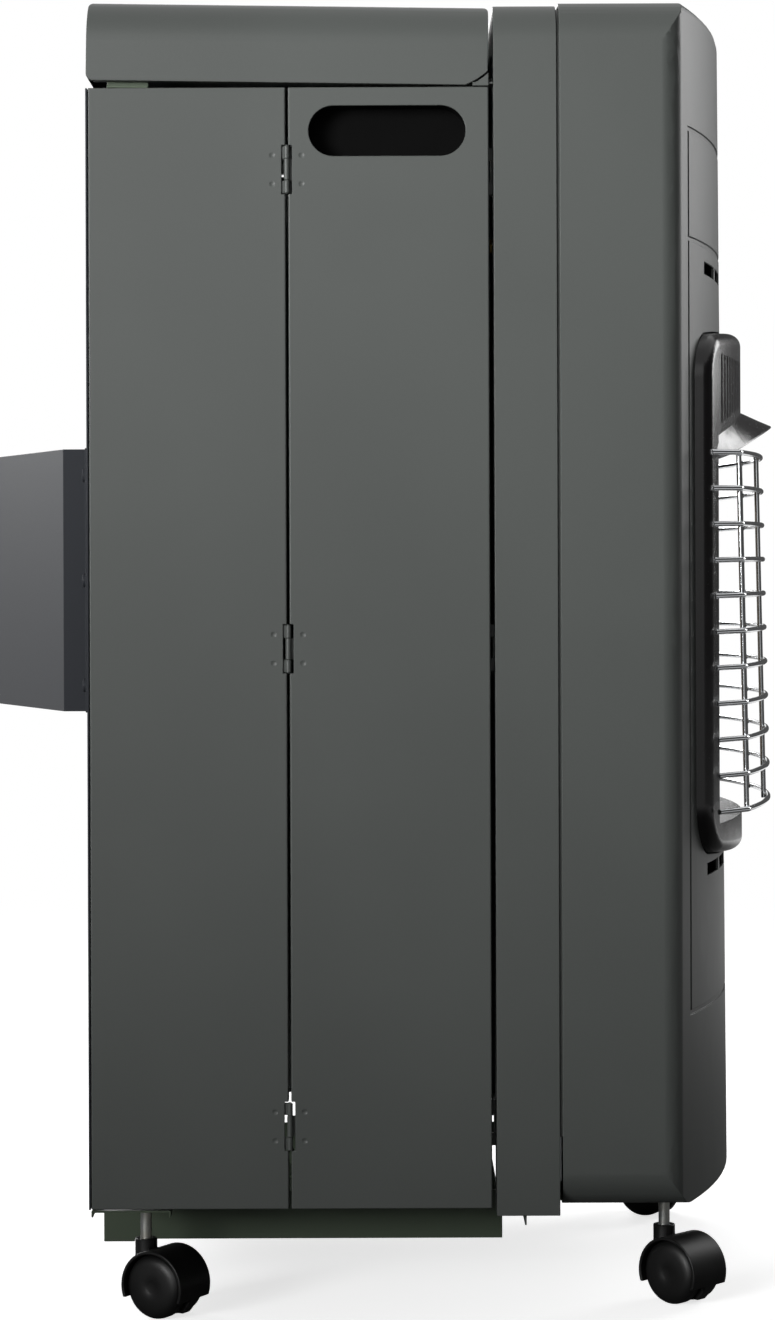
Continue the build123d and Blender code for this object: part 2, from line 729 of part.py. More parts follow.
def wire_guard():
    """Level wires, and upright wires behind them that are sunk a little into each one."""
    top = GUARD_Z0 + (GUARD_ROWS - 1) * GUARD_PITCH
    rows = [guard_row(GUARD_Z0 + i * GUARD_PITCH) for i in range(GUARD_ROWS)]
    posts = []
    for x in GUARD_POSTS:
        lap = 2 * GUARD_WIRE_R - GUARD_WELD
        y = bow_y(x, GUARD_BEND[0], GUARD_BEND[1], GUARD_APEX) + lap
        post = rod_z(x, y, GUARD_Z0 - GUARD_WIRE_R, top + GUARD_WIRE_R, GUARD_WIRE_R)
        for row in rows:
            post -= row
        posts.append(post)
    hang = Pos(0, GUARD_ROOT[1], top)
    lean = hang * Rot(-GUARD_LEAN, 0, 0) * hang.inverse()
    bezel = bezel_solid()
    save("wire_guard", *[lean * wire - bezel for wire in [*rows, *posts]])


# ---------- burner ----------
def plaque_xs():
    return [(i - 1) * PLAQUE_PITCH for i in range(3)]


def box_frustum(inset):
    front = Plane(origin=(0, BOX_FRONT_Y, BURNER_Z), x_dir=(1, 0, 0), z_dir=(0, -1, 0))
    rear = Plane(origin=(0, PLAQUE_Y, BURNER_Z), x_dir=(1, 0, 0), z_dir=(0, -1, 0))
    a = front * Rectangle(2 * (BOX_FRONT_X - inset), BOX_FRONT_H - 2 * inset)
    b = rear * Rectangle(2 * (BOX_REAR_X - inset), BOX_REAR_H - 2 * inset)
    return loft([a, b], ruled=True)


def burner_box():
    """Reflector box with a windowed rear plate, ears to the shell's sides and an opening for the pilot."""
    walls = box_frustum(0) - box_frustum(BOX_T)
    half_h = BOX_REAR_H / 2
    plate = block(-BOX_REAR_X, BOX_REAR_X, PLAQUE_Y, PLAQUE_Y + BOX_T, BURNER_Z - half_h, BURNER_Z + half_h)
    for x in plaque_xs():
        w = PLAQUE_W / 2 - PLAQUE_EDGE
        h = PLAQUE_H / 2 - PLAQUE_EDGE
        plate -= block(x - w, x + w, PLAQUE_Y - 1, PLAQUE_Y + 2, BURNER_Z - h, BURNER_Z + h)
    ears = []
    for side in (-1, 1):
        x0, x1 = sorted((side * BOX_REAR_X, side * (HALF_W - SHELL_T)))
        ears.append(block(x0, x1, PLAQUE_Y, PLAQUE_Y + BOX_T, BURNER_Z - EAR_HALF, BURNER_Z + EAR_HALF))
    box = fused([walls, plate, *ears])
    low = BURNER_Z - BOX_FRONT_H / 2 - 1
    box -= block(PILOT_X - 30, PILOT_X + 34, BOX_FRONT_Y + 4, PLAQUE_Y, low, PILOT_Z + 22)
    save("burner_box", box)


def ceramic_plaques():
    half_h = PLAQUE_H / 2
    y0 = PLAQUE_Y + BOX_T
    z0 = BURNER_Z - half_h
    half_w = PLAQUE_W / 2
    plaques = [block(x - half_w, x + half_w, y0, y0 + PLAQUE_T, z0, z0 + PLAQUE_H) for x in plaque_xs()]
    save("ceramic_plaques", *plaques)


def burner_bodies():
    """Pans behind the plaques, each with a mixing tube down to its jet."""
    bodies = []
    y0 = PLAQUE_Y + BOX_T + PLAQUE_T
    y1 = y0 + BODY_DEPTH
    half_w = PLAQUE_W / 2
    half_h = PLAQUE_H / 2
    inner_w, inner_h = half_w - BODY_T, half_h - BODY_T
    low = RAIL_Z + RAIL_R + TUBE_LIFT
    for x in plaque_xs():
        pan = block(x - half_w, x + half_w, y0, y1, BURNER_Z - half_h, BURNER_Z + half_h)
        pan -= block(x - inner_w, x + inner_w, y0 - 1, y1 - BODY_T, BURNER_Z - inner_h, BURNER_Z + inner_h)
        tube = rod_z(x, RAIL_Y, low, BURNER_Z - half_h + 1, TUBE_R)
        body = fused([pan, tube])
        body -= rod_z(x, RAIL_Y, low - 1, BURNER_Z - half_h + 2, TUBE_R - TUBE_T)
        body -= rod_x(x - 20, x + 20, RAIL_Y, low + 10, AIR_PORT_R)
        bodies.append(body)
    save("burner_bodies", *bodies)


def gas_rail():
    end = PLAQUE_PITCH + 14
    rail = rod_x(-end, end, RAIL_Y, RAIL_Z, RAIL_R)
    for x in plaque_xs():
        rail -= rod_z(x, RAIL_Y, RAIL_Z, RAIL_Z + RAIL_R + 1, JET_R)
    feet = []
    for x in (-RAIL_FOOT_X, RAIL_FOOT_X):
        feet.append(block(x - 5, x + 5, RAIL_Y + RAIL_R - 1, BAND_FRONT - SHIELD_T, RAIL_Z - 1, RAIL_Z + 1))
    save("gas_rail", fused([rail, *feet]))


def injectors():
    jets = []
    for x in plaque_xs():
        jet = rod_z(x, RAIL_Y, RAIL_Z, RAIL_Z + RAIL_R + 4, JET_R)
        jet += Pos(x, RAIL_Y, RAIL_Z + RAIL_R) * extrude(RegularPolygon(4.5, 6), amount=2)
        jets.append(jet - rod_z(x, RAIL_Y, RAIL_Z - 1, RAIL_Z + 20, JET_HOLE_R))
    save("injectors", *jets)


# ---------- controls ----------
WELL_FLOOR = SHELL_TOP - WELL_DEPTH
PILOT_X = PLAQUE_PITCH / 2
PILOT_Y = -160.0
PILOT_DROPS = (29.0, 37.0, 45.0)  # how far the lead, the pipe and the thermocouple go down
PILOT_Z = BURNER_Z - BOX_REAR_H / 2 - 14


def control_well():
    outer = well_opening(0, WELL_FLOOR - WELL_T, SHELL_TOP)
    flange = well_opening(WELL_FLANGE, SHELL_TOP, SHELL_TOP + WELL_FLANGE_T)
    well = outer + flange - well_opening(-WELL_T, WELL_FLOOR, SHELL_TOP + 2)
    well -= rod_z(KNOB_X, CTRL_Y, WELL_FLOOR - 2, WELL_FLOOR + 1, SPINDLE_R + 1)
    well -= rod_z(BUTTON_X, CTRL_Y, WELL_FLOOR - 2, WELL_FLOOR + 1, BUTTON_STEM_R + 0.5)
    save("control_well", well)


def knob_bottom():
    return WELL_FLOOR + KNOB_TRAVEL + 1


def control_knob():
    z0 = knob_bottom()
    knob = rod_z(KNOB_X, CTRL_Y, z0, z0 + KNOB_H, KNOB_R)
    knob = fillet(knob.edges().filter_by(GeomType.CIRCLE).group_by(Axis.Z)[-1], 1.6)
    ring = KNOB_R + 0.5
    for i in range(KNOB_FLUTES):
        a = 2 * math.pi * i / KNOB_FLUTES
        x, y = KNOB_X + ring * math.cos(a), CTRL_Y + ring * math.sin(a)
        knob -= rod_z(x, y, z0 - 1, z0 + KNOB_H - 3, KNOB_FLUTE_R)
    half = KNOB_MARK_W / 2
    front = CTRL_Y - KNOB_R
    mark_z = z0 + KNOB_H - KNOB_MARK_D
    knob -= block(KNOB_X - half, KNOB_X + half, front, front + KNOB_MARK_L, mark_z, z0 + KNOB_H + 1)
    knob -= rod_z(KNOB_X, CTRL_Y, z0 - 1, z0 + KNOB_H - 4, SPINDLE_R)
    save("control_knob", knob)


def spindle_bottom():
    return VALVE_TOP - 14


def valve_spindle():
    top = knob_bottom() + KNOB_H - 4
    spindle = rod_z(KNOB_X, CTRL_Y, spindle_bottom(), top, SPINDLE_R)
    save("valve_spindle", spindle)


def collar_z():
    return VALVE_TOP + KNOB_TRAVEL + 2


def thrust_collar():
    z = collar_z()
    ring = rod_z(KNOB_X, CTRL_Y, z, z + COLLAR_H, SPINDLE_R + COLLAR_H)
    save("thrust_collar", ring - rod_z(KNOB_X, CTRL_Y, z - 1, z + COLLAR_H + 1, SPINDLE_R + FIT))


def gas_valve():
    """Cast valve body with its bore, an inlet boss to the rear and a neck that carries the control well."""
    z0 = VALVE_TOP - VALVE_H
    h = VALVE_HALF
    body = block(KNOB_X - h, KNOB_X + h, CTRL_Y - h + 1, CTRL_Y + h - 1, z0, VALVE_TOP)
    body = fillet(body.edges().filter_by(Axis.Z), 3)
    neck = rod_z(KNOB_X, CTRL_Y, VALVE_TOP - 1, VALVE_TOP + 1.2, SPINDLE_R + 5)
    posts = []
    for x in (KNOB_X - h, KNOB_X + h):
        posts.append(block(x - 3, x + 3, CTRL_Y - 5, CTRL_Y + 5, z0 + 20, WELL_FLOOR - WELL_T))
    body = fused([body, neck, *posts])
    body -= rod_z(KNOB_X, CTRL_Y, spindle_bottom() - KNOB_TRAVEL - 1, VALVE_TOP + 3, SPINDLE_R + FIT)
    save("gas_valve", body)


def piezo_button():
    z0 = WELL_FLOOR + BUTTON_TRAVEL + 0.5
    cap = rod_z(BUTTON_X, CTRL_Y, z0, z0 + BUTTON_H, BUTTON_R)
    cap = fillet(cap.edges().filter_by(GeomType.CIRCLE).group_by(Axis.Z)[-1], 1.5)
    stem = rod_z(BUTTON_X, CTRL_Y, WELL_FLOOR - 20, z0 + 1, BUTTON_STEM_R)
    save("piezo_button", fused([cap, stem]))


def piezo_igniter():
    top = WELL_FLOOR - WELL_T
    body = rod_z(BUTTON_X, CTRL_Y, top - PIEZO_L, top, PIEZO_R)
    nut = Pos(BUTTON_X, CTRL_Y, top - 4) * extrude(RegularPolygon(PIEZO_R + 4, 6), amount=4)
    tail = rod_z(BUTTON_X, CTRL_Y, top - PIEZO_L - 6, top - PIEZO_L, 3)
    body = fused([body, nut, tail])
    body -= rod_z(BUTTON_X, CTRL_Y, WELL_FLOOR - 20 - BUTTON_TRAVEL - 1, top + 1, BUTTON_STEM_R + FIT)
    save("piezo_igniter", body)


# ---------- gas way ----------
RISER_X = HALF_W - 34.0
VALVE_PORT_Z = VALVE_TOP - VALVE_H


def inlet_pipe():
    """From the valve's side, round and back to the nozzle at the heat shield."""
    x0 = KNOB_X + VALVE_HALF
    y = CTRL_Y + 4
    z = VALVE_PORT_Z + 12
    low = INLET_Z - 18
    pts = [(x0, y, z), (x0 + 22, y, z), (x0 + 22, y, low), (INLET_X, y, low), (INLET_X, y, INLET_Z)]
    pts.append((INLET_X, BAND_FRONT - SHIELD_T - 7, INLET_Z))
    save("inlet_pipe", pipe(pts, 6, PIPE_R))


def inlet_nozzle():
    """Hose nozzle through the heat shield, towards the bottle."""
    y0 = BAND_FRONT - SHIELD_T
    turn = Rot(90, 0, 0)
    nut = Pos(INLET_X, y0, INLET_Z) * turn * extrude(RegularPolygon(9, 6), amount=7)
    barrel = rod_y(INLET_X, y0 - 1, BAND_FRONT, INLET_Z, NOZZLE_R + 1)
    collar = Pos(INLET_X, BAND_FRONT + 4, INLET_Z) * turn * extrude(RegularPolygon(8, 6), amount=4)
    hose_end = rod_y(INLET_X, BAND_FRONT + 4, BAND_FRONT + 4 + NOZZLE_L, INLET_Z, NOZZLE_R)
    body = fused([nut, barrel, collar, hose_end])
    body -= rod_y(INLET_X, y0 - 20, BAND_FRONT + 40, INLET_Z, 2.2)
    save("inlet_nozzle", body)


def burner_pipe():
    end = PLAQUE_PITCH + 14
    z_top = VALVE_PORT_Z - 14
    pts = [(end, RAIL_Y, RAIL_Z), (RISER_X, RAIL_Y, RAIL_Z), (RISER_X, RAIL_Y, z_top - 26)]
    pts += [(KNOB_X, RAIL_Y, z_top - 26), (KNOB_X, RAIL_Y, VALVE_PORT_Z)]
    save("burner_pipe", pipe(pts, 12, PIPE_R))


def pilot_pipe():
    low = PILOT_Z - PILOT_DROPS[1]
    x0 = RISER_X + 8
    y = PILOT_Y + 44
    z_top = VALVE_PORT_Z - 26
    pts = [(PILOT_X, PILOT_Y, PILOT_Z), (PILOT_X, PILOT_Y, low), (x0, PILOT_Y, low), (x0, y, low)]
    pts += [(x0, y, z_top), (KNOB_X - 9, y, z_top), (KNOB_X - 9, y, VALVE_PORT_Z)]
    save("pilot_pipe", pipe(pts, 7, THIN_R))


def pilot_burner():
    """Bracket under the plaques with the pilot's hood."""
    body = rod_z(PILOT_X, PILOT_Y, PILOT_Z, PILOT_Z + 16, 4)
    body -= rod_z(PILOT_X, PILOT_Y, PILOT_Z + 4, PILOT_Z + 17, 2.6)
    body -= rod_y(PILOT_X, PILOT_Y, PILOT_Y + 10, PILOT_Z + 11, 1.6)
    shelf = block(PILOT_X - 24, PILOT_X + 28, PILOT_Y - 5, PLAQUE_Y, PILOT_Z + 1, PILOT_Z + 2.2)
    for dx, r in ((-14, THIN_R + 0.4), (16, 2.4)):
        shelf -= rod_z(PILOT_X + dx, PILOT_Y, PILOT_Z, PILOT_Z + 3, r)
    back = block(PILOT_X - 24, PILOT_X + 28, PLAQUE_Y - 1.2, PLAQUE_Y, PILOT_Z + 1, PILOT_Z + 20)
    save("pilot_burner", fused([body, shelf, back]))


def thermocouple():
    """Sensing tip beside the pilot, with its lead to the valve's rear face."""
    x = PILOT_X - 14
    low = PILOT_Z - PILOT_DROPS[2]
    x1 = RISER_X + 16
    y = CTRL_Y + 23
    z_top = VALVE_TOP - 22
    tip = rod_z(x, PILOT_Y, PILOT_Z - 10, PILOT_Z + 24, THIN_R + 0.4)
    pts = [(x, PILOT_Y, PILOT_Z - 10), (x, PILOT_Y, low), (x1, PILOT_Y, low), (x1, y, low), (x1, y, z_top)]
    pts += [(KNOB_X + 3, y, z_top), (KNOB_X + 3, CTRL_Y + VALVE_HALF - 1, z_top)]
    save("thermocouple", fused([tip, pipe(pts, 5, THIN_R - 0.4)]))


def spark_electrode():
    x = PILOT_X + 16
    insulator = rod_z(x, PILOT_Y, PILOT_Z - 14, PILOT_Z + 8, 2.4)
    wire = rod_z(x, PILOT_Y, PILOT_Z + 8, PILOT_Z + 20, 0.9)
    pin = rod_z(x, PILOT_Y, PILOT_Z - 18, PILOT_Z - 14, 1.2)
    save("spark_electrode", fused([insulator, wire, pin]))


def ignition_lead():
    """Lead from the electrode up to the igniter."""
    x = PILOT_X + 16
    low = PILOT_Z - PILOT_DROPS[0]
    x1 = RISER_X - 10
    y = CTRL_Y + 23
    top = WELL_FLOOR - WELL_T - PIEZO_L - 6
    pts = [(x, PILOT_Y, PILOT_Z - 18), (x, PILOT_Y, low), (x1, PILOT_Y, low), (x1, y, low), (x1, y, top - 40)]
    pts += [(BUTTON_X, y, top - 40), (BUTTON_X, CTRL_Y, top - 26), (BUTTON_X, CTRL_Y, top)]
    save("ignition_lead", pipe(pts, 6, THIN_R - 0.1))


# ---------- hinges ----------
def knuckles(x, y, r, parts):
    """Knuckles on one vertical axis at each hinge height. parts: 'mid' or 'ends'."""
    half = KNUCKLE_MID / 2
    out = []
    for z in HINGE_ZS:
        if parts == "mid":
            spans = [(z - half, z + half)]
        else:
            end = half + KNUCKLE_GAP
            spans = [(z - HINGE_LEN / 2, z - end), (z + end, z + HINGE_LEN / 2)]
        out += [(a, b, rod_z(x, y, a, b, r)) for a, b in spans]
    return out


def mid_leaves(side_y, parts):
    """Leaves of the mid hinges on the right side. side_y is -1 for the front panel, +1 for the rear."""
    inner = PANEL_X - SHEET
    near = SEAM_Y + side_y * (NOTCH_SIDE + 0.3)
    far = SEAM_Y + side_y * MID_LEAF_REACH
    half = HINGE_LEN / 2
    y0, y1 = sorted((near, far))
    shapes = [block(inner - LEAF_T, inner, y0, y1, z - half, z + half) for z in HINGE_ZS]
    for a, b, k in knuckles(MID_AXIS_X, SEAM_Y, MID_KNUCKLE_R, parts):
        tip = SEAM_Y + side_y * 0.3
        strip = block(inner - LEAF_T, inner, min(near, tip), max(near, tip), a, b)
        shapes.append(fused([k, strip]))
    return shapes


def hinge_pins(x, y, r):
    return [rod_z(x, y, z - HINGE_LEN / 2 - 0.5, z + HINGE_LEN / 2 + 0.5, r) for z in HINGE_ZS]


def pin_bores(x, y, r):
    return fused(hinge_pins(x, y, r))


def edge_leaves(axis_y, face_y, toward, parts, on_frame):
    """Leaves at a panel's outer edge on the right side, on the frame or on the panel's return."""
    inner_return = PANEL_X - RETURN
    shapes = []
    for z in HINGE_ZS:
        y0, y1 = sorted((face_y, face_y + toward * SHEET))
        if on_frame:
            plate = block(EDGE_AXIS_X - 12, EDGE_AXIS_X - 1.5, y0, y1, z - HINGE_LEN / 2, z + HINGE_LEN / 2)
        else:
            plate = block(inner_return - 0.7, PANEL_X - SHEET, y0, y1, z - HINGE_LEN / 2, z + HINGE_LEN / 2)
        shapes.append(plate)
    for a, b, k in knuckles(EDGE_AXIS_X, axis_y, EDGE_KNUCKLE_R, parts):
        y0, y1 = sorted((face_y, axis_y))
        if on_frame:
            tab = block(EDGE_AXIS_X - 2.5, EDGE_AXIS_X, y0, y1, a, b)
        else:
            tab = block(EDGE_AXIS_X + 0.4, EDGE_AXIS_X + 2.9, y0, y1, a, b)
        shapes.append(fused([k, tab]))
    return shapes


def panel_leaves():
    """Leaves that ride on the two side panels, right side first and mirrored for the left."""
    front_return = PANEL_FRONT + SHEET
    rear_return = PANEL_REAR - SHEET
    front = fused(mid_leaves(-1, "mid") + edge_leaves(FRONT_AXIS_Y, front_return, 1, "mid", False))
    front -= pin_bores(MID_AXIS_X, SEAM_Y, PIN_R + PIN_CLEAR)
    front -= pin_bores(EDGE_AXIS_X, FRONT_AXIS_Y, PIN_R + PIN_CLEAR)
    rear = fused(
        mid_leaves(1, "ends")
        + hinge_pins(MID_AXIS_X, SEAM_Y, PIN_R)
        + edge_leaves(REAR_AXIS_Y, rear_return, -1, "mid", False)
    )
    rear -= pin_bores(EDGE_AXIS_X, REAR_AXIS_Y, PIN_R + PIN_CLEAR)
    save("right_front_hinge_leaves", front)
    save("right_rear_hinge_leaves", rear)
    save("left_front_hinge_leaves", mirrored(front))
    save("left_rear_hinge_leaves", mirrored(rear))


def frame_hinge_leaves():
    leaves = fused(
        edge_leaves(FRONT_AXIS_Y, BAND_REAR, 1, "ends", True)
        + hinge_pins(EDGE_AXIS_X, FRONT_AXIS_Y, PIN_R)
    )
    save("frame_hinge_leaves", both_sides(leaves))


def rear_hinge_leaves():
    leaves = fused(
        edge_leaves(REAR_AXIS_Y, REAR_FACE, -1, "ends", True)
        + hinge_pins(EDGE_AXIS_X, REAR_AXIS_Y, PIN_R)
    )
    save("rear_hinge_leaves", both_sides(leaves))


# ---------- side panels ----------
def panel(y0, y1, seam_side, with_handle):
    """One side panel of the right side: a sheet with returns on its four edges and notches at the hinges."""
    body = block(PANEL_X - RETURN, PANEL_X, y0, y1, PANEL_BOTTOM, PANEL_TOP)
    inner = block(
        PANEL_X - RETURN - 1,
        PANEL_X - SHEET,
        y0 + SHEET,
        y1 - SHEET,
        PANEL_BOTTOM + SHEET,
        PANEL_TOP - SHEET,
    )
    body -= inner
    vertical = [e for e in body.edges().filter_by(Axis.Z) if e.center().X > PANEL_X - 0.1]
    body = fillet(vertical, SHEET * 0.9)
    for z in HINGE_ZS:
        edge = SEAM_Y + seam_side * NOTCH_SIDE
        half = HINGE_LEN / 2 + NOTCH_END
        a, b = sorted((SEAM_Y, edge))
        body -= block(PANEL_X - RETURN - 1, PANEL_X + 1, a, b, z - half, z + half)
        for dz in (-DIMPLE_Z, DIMPLE_Z):
            centre = Pos(PANEL_X + DIMPLE_R - DIMPLE_D, SEAM_Y + seam_side * DIMPLE_Y, z + dz)
            body -= centre * Sphere(DIMPLE_R)
    if with_handle:
        body -= stadium_x(PANEL_X - SHEET - 1, PANEL_X + 1, HANDLE_Y, HANDLE_Z, HANDLE_L, HANDLE_H)
    return body


def side_panels():
    front = panel(PANEL_FRONT, SEAM_Y - SEAM_GAP / 2, -1, True)
    rear = panel(SEAM_Y + SEAM_GAP / 2, PANEL_REAR, 1, False)
    save("right_front_panel", front)
    save("right_rear_panel", rear)
    save("left_front_panel", mirrored(front))
    save("left_rear_panel", mirrored(rear))


def handle_cups():
    skin = PANEL_X - SHEET
    wall = stadium_x(CUP_X, skin, HANDLE_Y, HANDLE_Z, HANDLE_L + 2 * CUP_WALL, HANDLE_H + 2 * CUP_WALL)
    lip = 2 * CUP_FLANGE
    flange = stadium_x(skin - CUP_WALL, skin, HANDLE_Y, HANDLE_Z, HANDLE_L + lip, HANDLE_H + lip)
    hollow = stadium_x(CUP_X + CUP_WALL, skin + 1, HANDLE_Y, HANDLE_Z, HANDLE_L, HANDLE_H)
    cup = fused([wall, flange]) - hollow
    save("right_handle_cup", cup)
    save("left_handle_cup", mirrored(cup))


# ---------- lid ----------
def lid_side_profile(grow, x0, x1):
    """Side outline of the lid, drawn out along X, with the arc about the pivot at its lower front corner."""
    front = LID_FRONT - grow
    rear = LID_REAR + grow
    top = LID_TOP + grow
    bottom = LID_BOTTOM - grow
    r = LID_EDGE_R + grow
    arc = LID_ARC_R + grow
    y_end = LID_PIVOT_Y - math.sqrt(arc**2 - (LID_PIVOT_Z - bottom) ** 2)
    z_end = LID_PIVOT_Z - math.sqrt(arc**2 - (LID_PIVOT_Y - front) ** 2)
    half_y = (y_end + front) / 2 - LID_PIVOT_Y
    half_z = (bottom + z_end) / 2 - LID_PIVOT_Z
    k = arc / math.hypot(half_y, half_z)
    s = r * (1 - math.sqrt(0.5))
    pts = [(0, y_end, bottom), (0, front, z_end), (0, front, top - r), (0, front + r, top)]
    pts += [(0, rear - r, top), (0, rear, top - r), (0, rear, bottom + r), (0, rear - r, bottom)]
    arcs = {0: (0, LID_PIVOT_Y + half_y * k, LID_PIVOT_Z + half_z * k)}
    arcs[2] = (0, front + s, top - s)
    arcs[4] = (0, rear - s, top - s)
    arcs[6] = (0, rear - s, bottom + s)
    return Pos(x0, 0, 0) * extrude(arc_sketch(pts, arcs), amount=x1 - x0, dir=(1, 0, 0))


def tilt(shape):
    pivot = Pos(0, LID_PIVOT_Y, LID_PIVOT_Z)
    return pivot * Rot(LID_TILT, 0, 0) * pivot.inverse() * shape


def lid():
    tall = LID_BOTTOM - 10
    inner_r = SHOULDER_R - SHEET
    outer = elevation(HALF_W, tall, LID_TOP, SHOULDER_R, LID_FRONT - 1, LID_REAR + 1)
    outer &= lid_side_profile(0, -HALF_W, HALF_W)
    low_part = block(-HALF_W, HALF_W, LID_FRONT, LID_REAR, tall - 2, LID_TOP - 2 * LID_EDGE_R)
    cavity = elevation(
        HALF_W - SHEET,
        tall - 1,
        LID_TOP - SHEET,
        inner_r,
        LID_FRONT + SHEET,
        LID_REAR - SHEET,
    )
    cavity &= lid_side_profile(-SHEET, -HALF_W, HALF_W) + low_part
    open_front = elevation(
        HALF_W - SHEET,
        tall - 1,
        LID_TOP - LID_EDGE_R,
        SHOULDER_R - LID_EDGE_R,
        LID_FRONT - 2,
        LID_FRONT + 2 * SHEET,
    )
    open_front -= block(-LID_WALL_X, LID_WALL_X, LID_FRONT - 3, 0, tall - 2, LID_TOP + 1)
    body = outer - cavity - open_front
    hem_y0 = LID_PIVOT_Y + 9
    hem = block(
        HALF_W - SHEET - LID_HEM,
        HALF_W - SHEET,
        hem_y0,
        LID_REAR - LID_EDGE_R,
        LID_BOTTOM,
        LID_BOTTOM + SHEET,
    )
    save("lid", tilt(fused([body, hem, mirrored(hem)])))


def lid_brackets():
    """Inner brackets that hang on the lid's pins, and rests on the side panels near its rear edge."""
    x1 = LID_ARM_X - LID_ARM_T
    y0, y1 = LID_PIVOT_Y - 8, LID_PIVOT_Y + 9
    under = LID_TOP - SHEET
    ear = block(x1 - LID_ARM_T, x1, y0, y1, LID_PIVOT_Z - 8, under)
    pad = block(x1 - 14, x1, y0, y1, under - LEAF_T, under)
    hanger = fused([ear, pad]) & elevation(HALF_W - SHEET, LID_BOTTOM, under, SHOULDER_R - SHEET, y0, y1)
    hanger -= rod_x(x1 - 5, x1 + 2, LID_PIVOT_Y, LID_PIVOT_Z, LID_PIN_R + FIT)
    hem_x = HALF_W - SHEET - LID_HEM
    z0 = LID_BOTTOM - LID_REST_DROP
    plate = block(hem_x - LEAF_T, hem_x, *LID_REST_Y, z0, LID_BOTTOM + SHEET + LEAF_T)
    foot = block(hem_x - LEAF_T, hem_x + 3, *LID_REST_Y, z0, z0 + LEAF_T)
    hem_top = LID_BOTTOM + SHEET
    saddle = block(hem_x - LEAF_T, HALF_W - SHEET, *LID_REST_Y, hem_top, hem_top + LEAF_T)
    save("lid_brackets", tilt(both_sides(hanger)), tilt(both_sides(fused([plate, foot, saddle]))))


def lid_hinge_brackets():
    """Arms on the band that carry the lid's pins, with the filler plate under the lid's front corner."""
    x0, x1 = LID_ARM_X, LID_ARM_X + LID_ARM_T
    top = ARM_BOTTOM + ARM_H
    reach = block(x0, x1, BAND_REAR, LID_PIVOT_Y + LID_ARM_HALF, ARM_BOTTOM, top)
    post = block(x0, x1, LID_PIVOT_Y - LID_ARM_HALF, LID_PIVOT_Y + LID_ARM_HALF, ARM_BOTTOM, LID_PIVOT_Z)
    head = rod_x(x0, x1, LID_PIVOT_Y, LID_PIVOT_Z, LID_ARM_HALF)
    foot = block(x0 - 6, HALF_W - 12, BAND_REAR, BAND_REAR + 1, ARM_BOTTOM, top)
    shelf_rear = LID_FRONT + 9
    shelf = block(x0, HALF_W - SHEET, BAND_REAR, shelf_rear, ARM_BOTTOM, ARM_BOTTOM + SHEET)
    plate = block(HALF_W - SHEET, HALF_W, LID_FRONT, shelf_rear, PANEL_TOP + SKIN_GAP, LID_PIVOT_Z - 20)
    plate -= rod_x(HALF_W - 3, HALF_W + 1, LID_PIVOT_Y, LID_PIVOT_Z, LID_ARC_R + 1.0)
    arm = fused([reach, post, head, foot, shelf, plate])
    arm -= rod_x(x0 - 1, x1 + 1, LID_PIVOT_Y, LID_PIVOT_Z, LID_PIN_R)
    pin = rod_x(x0 - LID_ARM_T - LID_PIN_END, x1, LID_PIVOT_Y, LID_PIVOT_Z, LID_PIN_R)
    pin += rod_x(x1, x1 + 1.5, LID_PIVOT_Y, LID_PIVOT_Z, LID_PIN_R + 1.5)
    save("lid_hinge_brackets", both_sides(arm), both_sides(pin))


# ---------- rear body ----------
def rear_panel():
    plate = block(-PANEL_X, PANEL_X, REAR_FACE, REAR_FACE + SHEET, REAR_BOTTOM, PANEL_TOP)
    plate -= block(-BULGE_HOLE_X, BULGE_HOLE_X, REAR_FACE - 1, REAR_FACE + 2, BULGE_Z0 + 8, BULGE_Z1 - 8)
    for z in REAR_VENT_ZS:
        for x in REAR_VENT_XS:
            half = REAR_VENT_L / 2
            plate -= block(x - half, x + half, REAR_FACE - 1, REAR_FACE + 2, z, z + REAR_VENT_H)
    way = TRAY_X + TRAY_WAY
    plate -= block(-way, way, REAR_FACE - 1, REAR_FACE + 2, REAR_BOTTOM - 1, TRAY_WAY_TOP)
    reach = EDGE_AXIS_X - 14
    stiffener = block(-reach, reach, REAR_FACE - STIFFENER, REAR_FACE, PANEL_TOP - SHEET, PANEL_TOP)
    body = fused([plate, stiffener])
    for x, z in bulge_screw_places():
        body -= rod_y(x, REAR_FACE - 1, REAR_FACE + 2, z, SCREW_R)
    save("rear_panel", body)


def bulge_plan(inset, z0, z1):
    back = BULGE_BACK - inset
    y0 = REAR_FACE + SHEET
    side = BULGE_STEP_X - inset
    pts = [(side, y0), (side, BULGE_STEP_Y), (BULGE_FLAT_X - inset * 0.4, back)]
    pts += [(-x, y) for x, y in reversed(pts)]
    face = make_face(Polyline(*pts, close=True))
    return Pos(0, 0, z0) * extrude(face, amount=z1 - z0, dir=(0, 0, 1))


def bulge_screw_places():
    x = (BULGE_FLANGE_X + BULGE_STEP_X) / 2
    return [(s * x, z) for s in (-1, 1) for z in (BULGE_Z0 + 15, (BULGE_Z0 + BULGE_Z1) / 2, BULGE_Z1 - 15)]


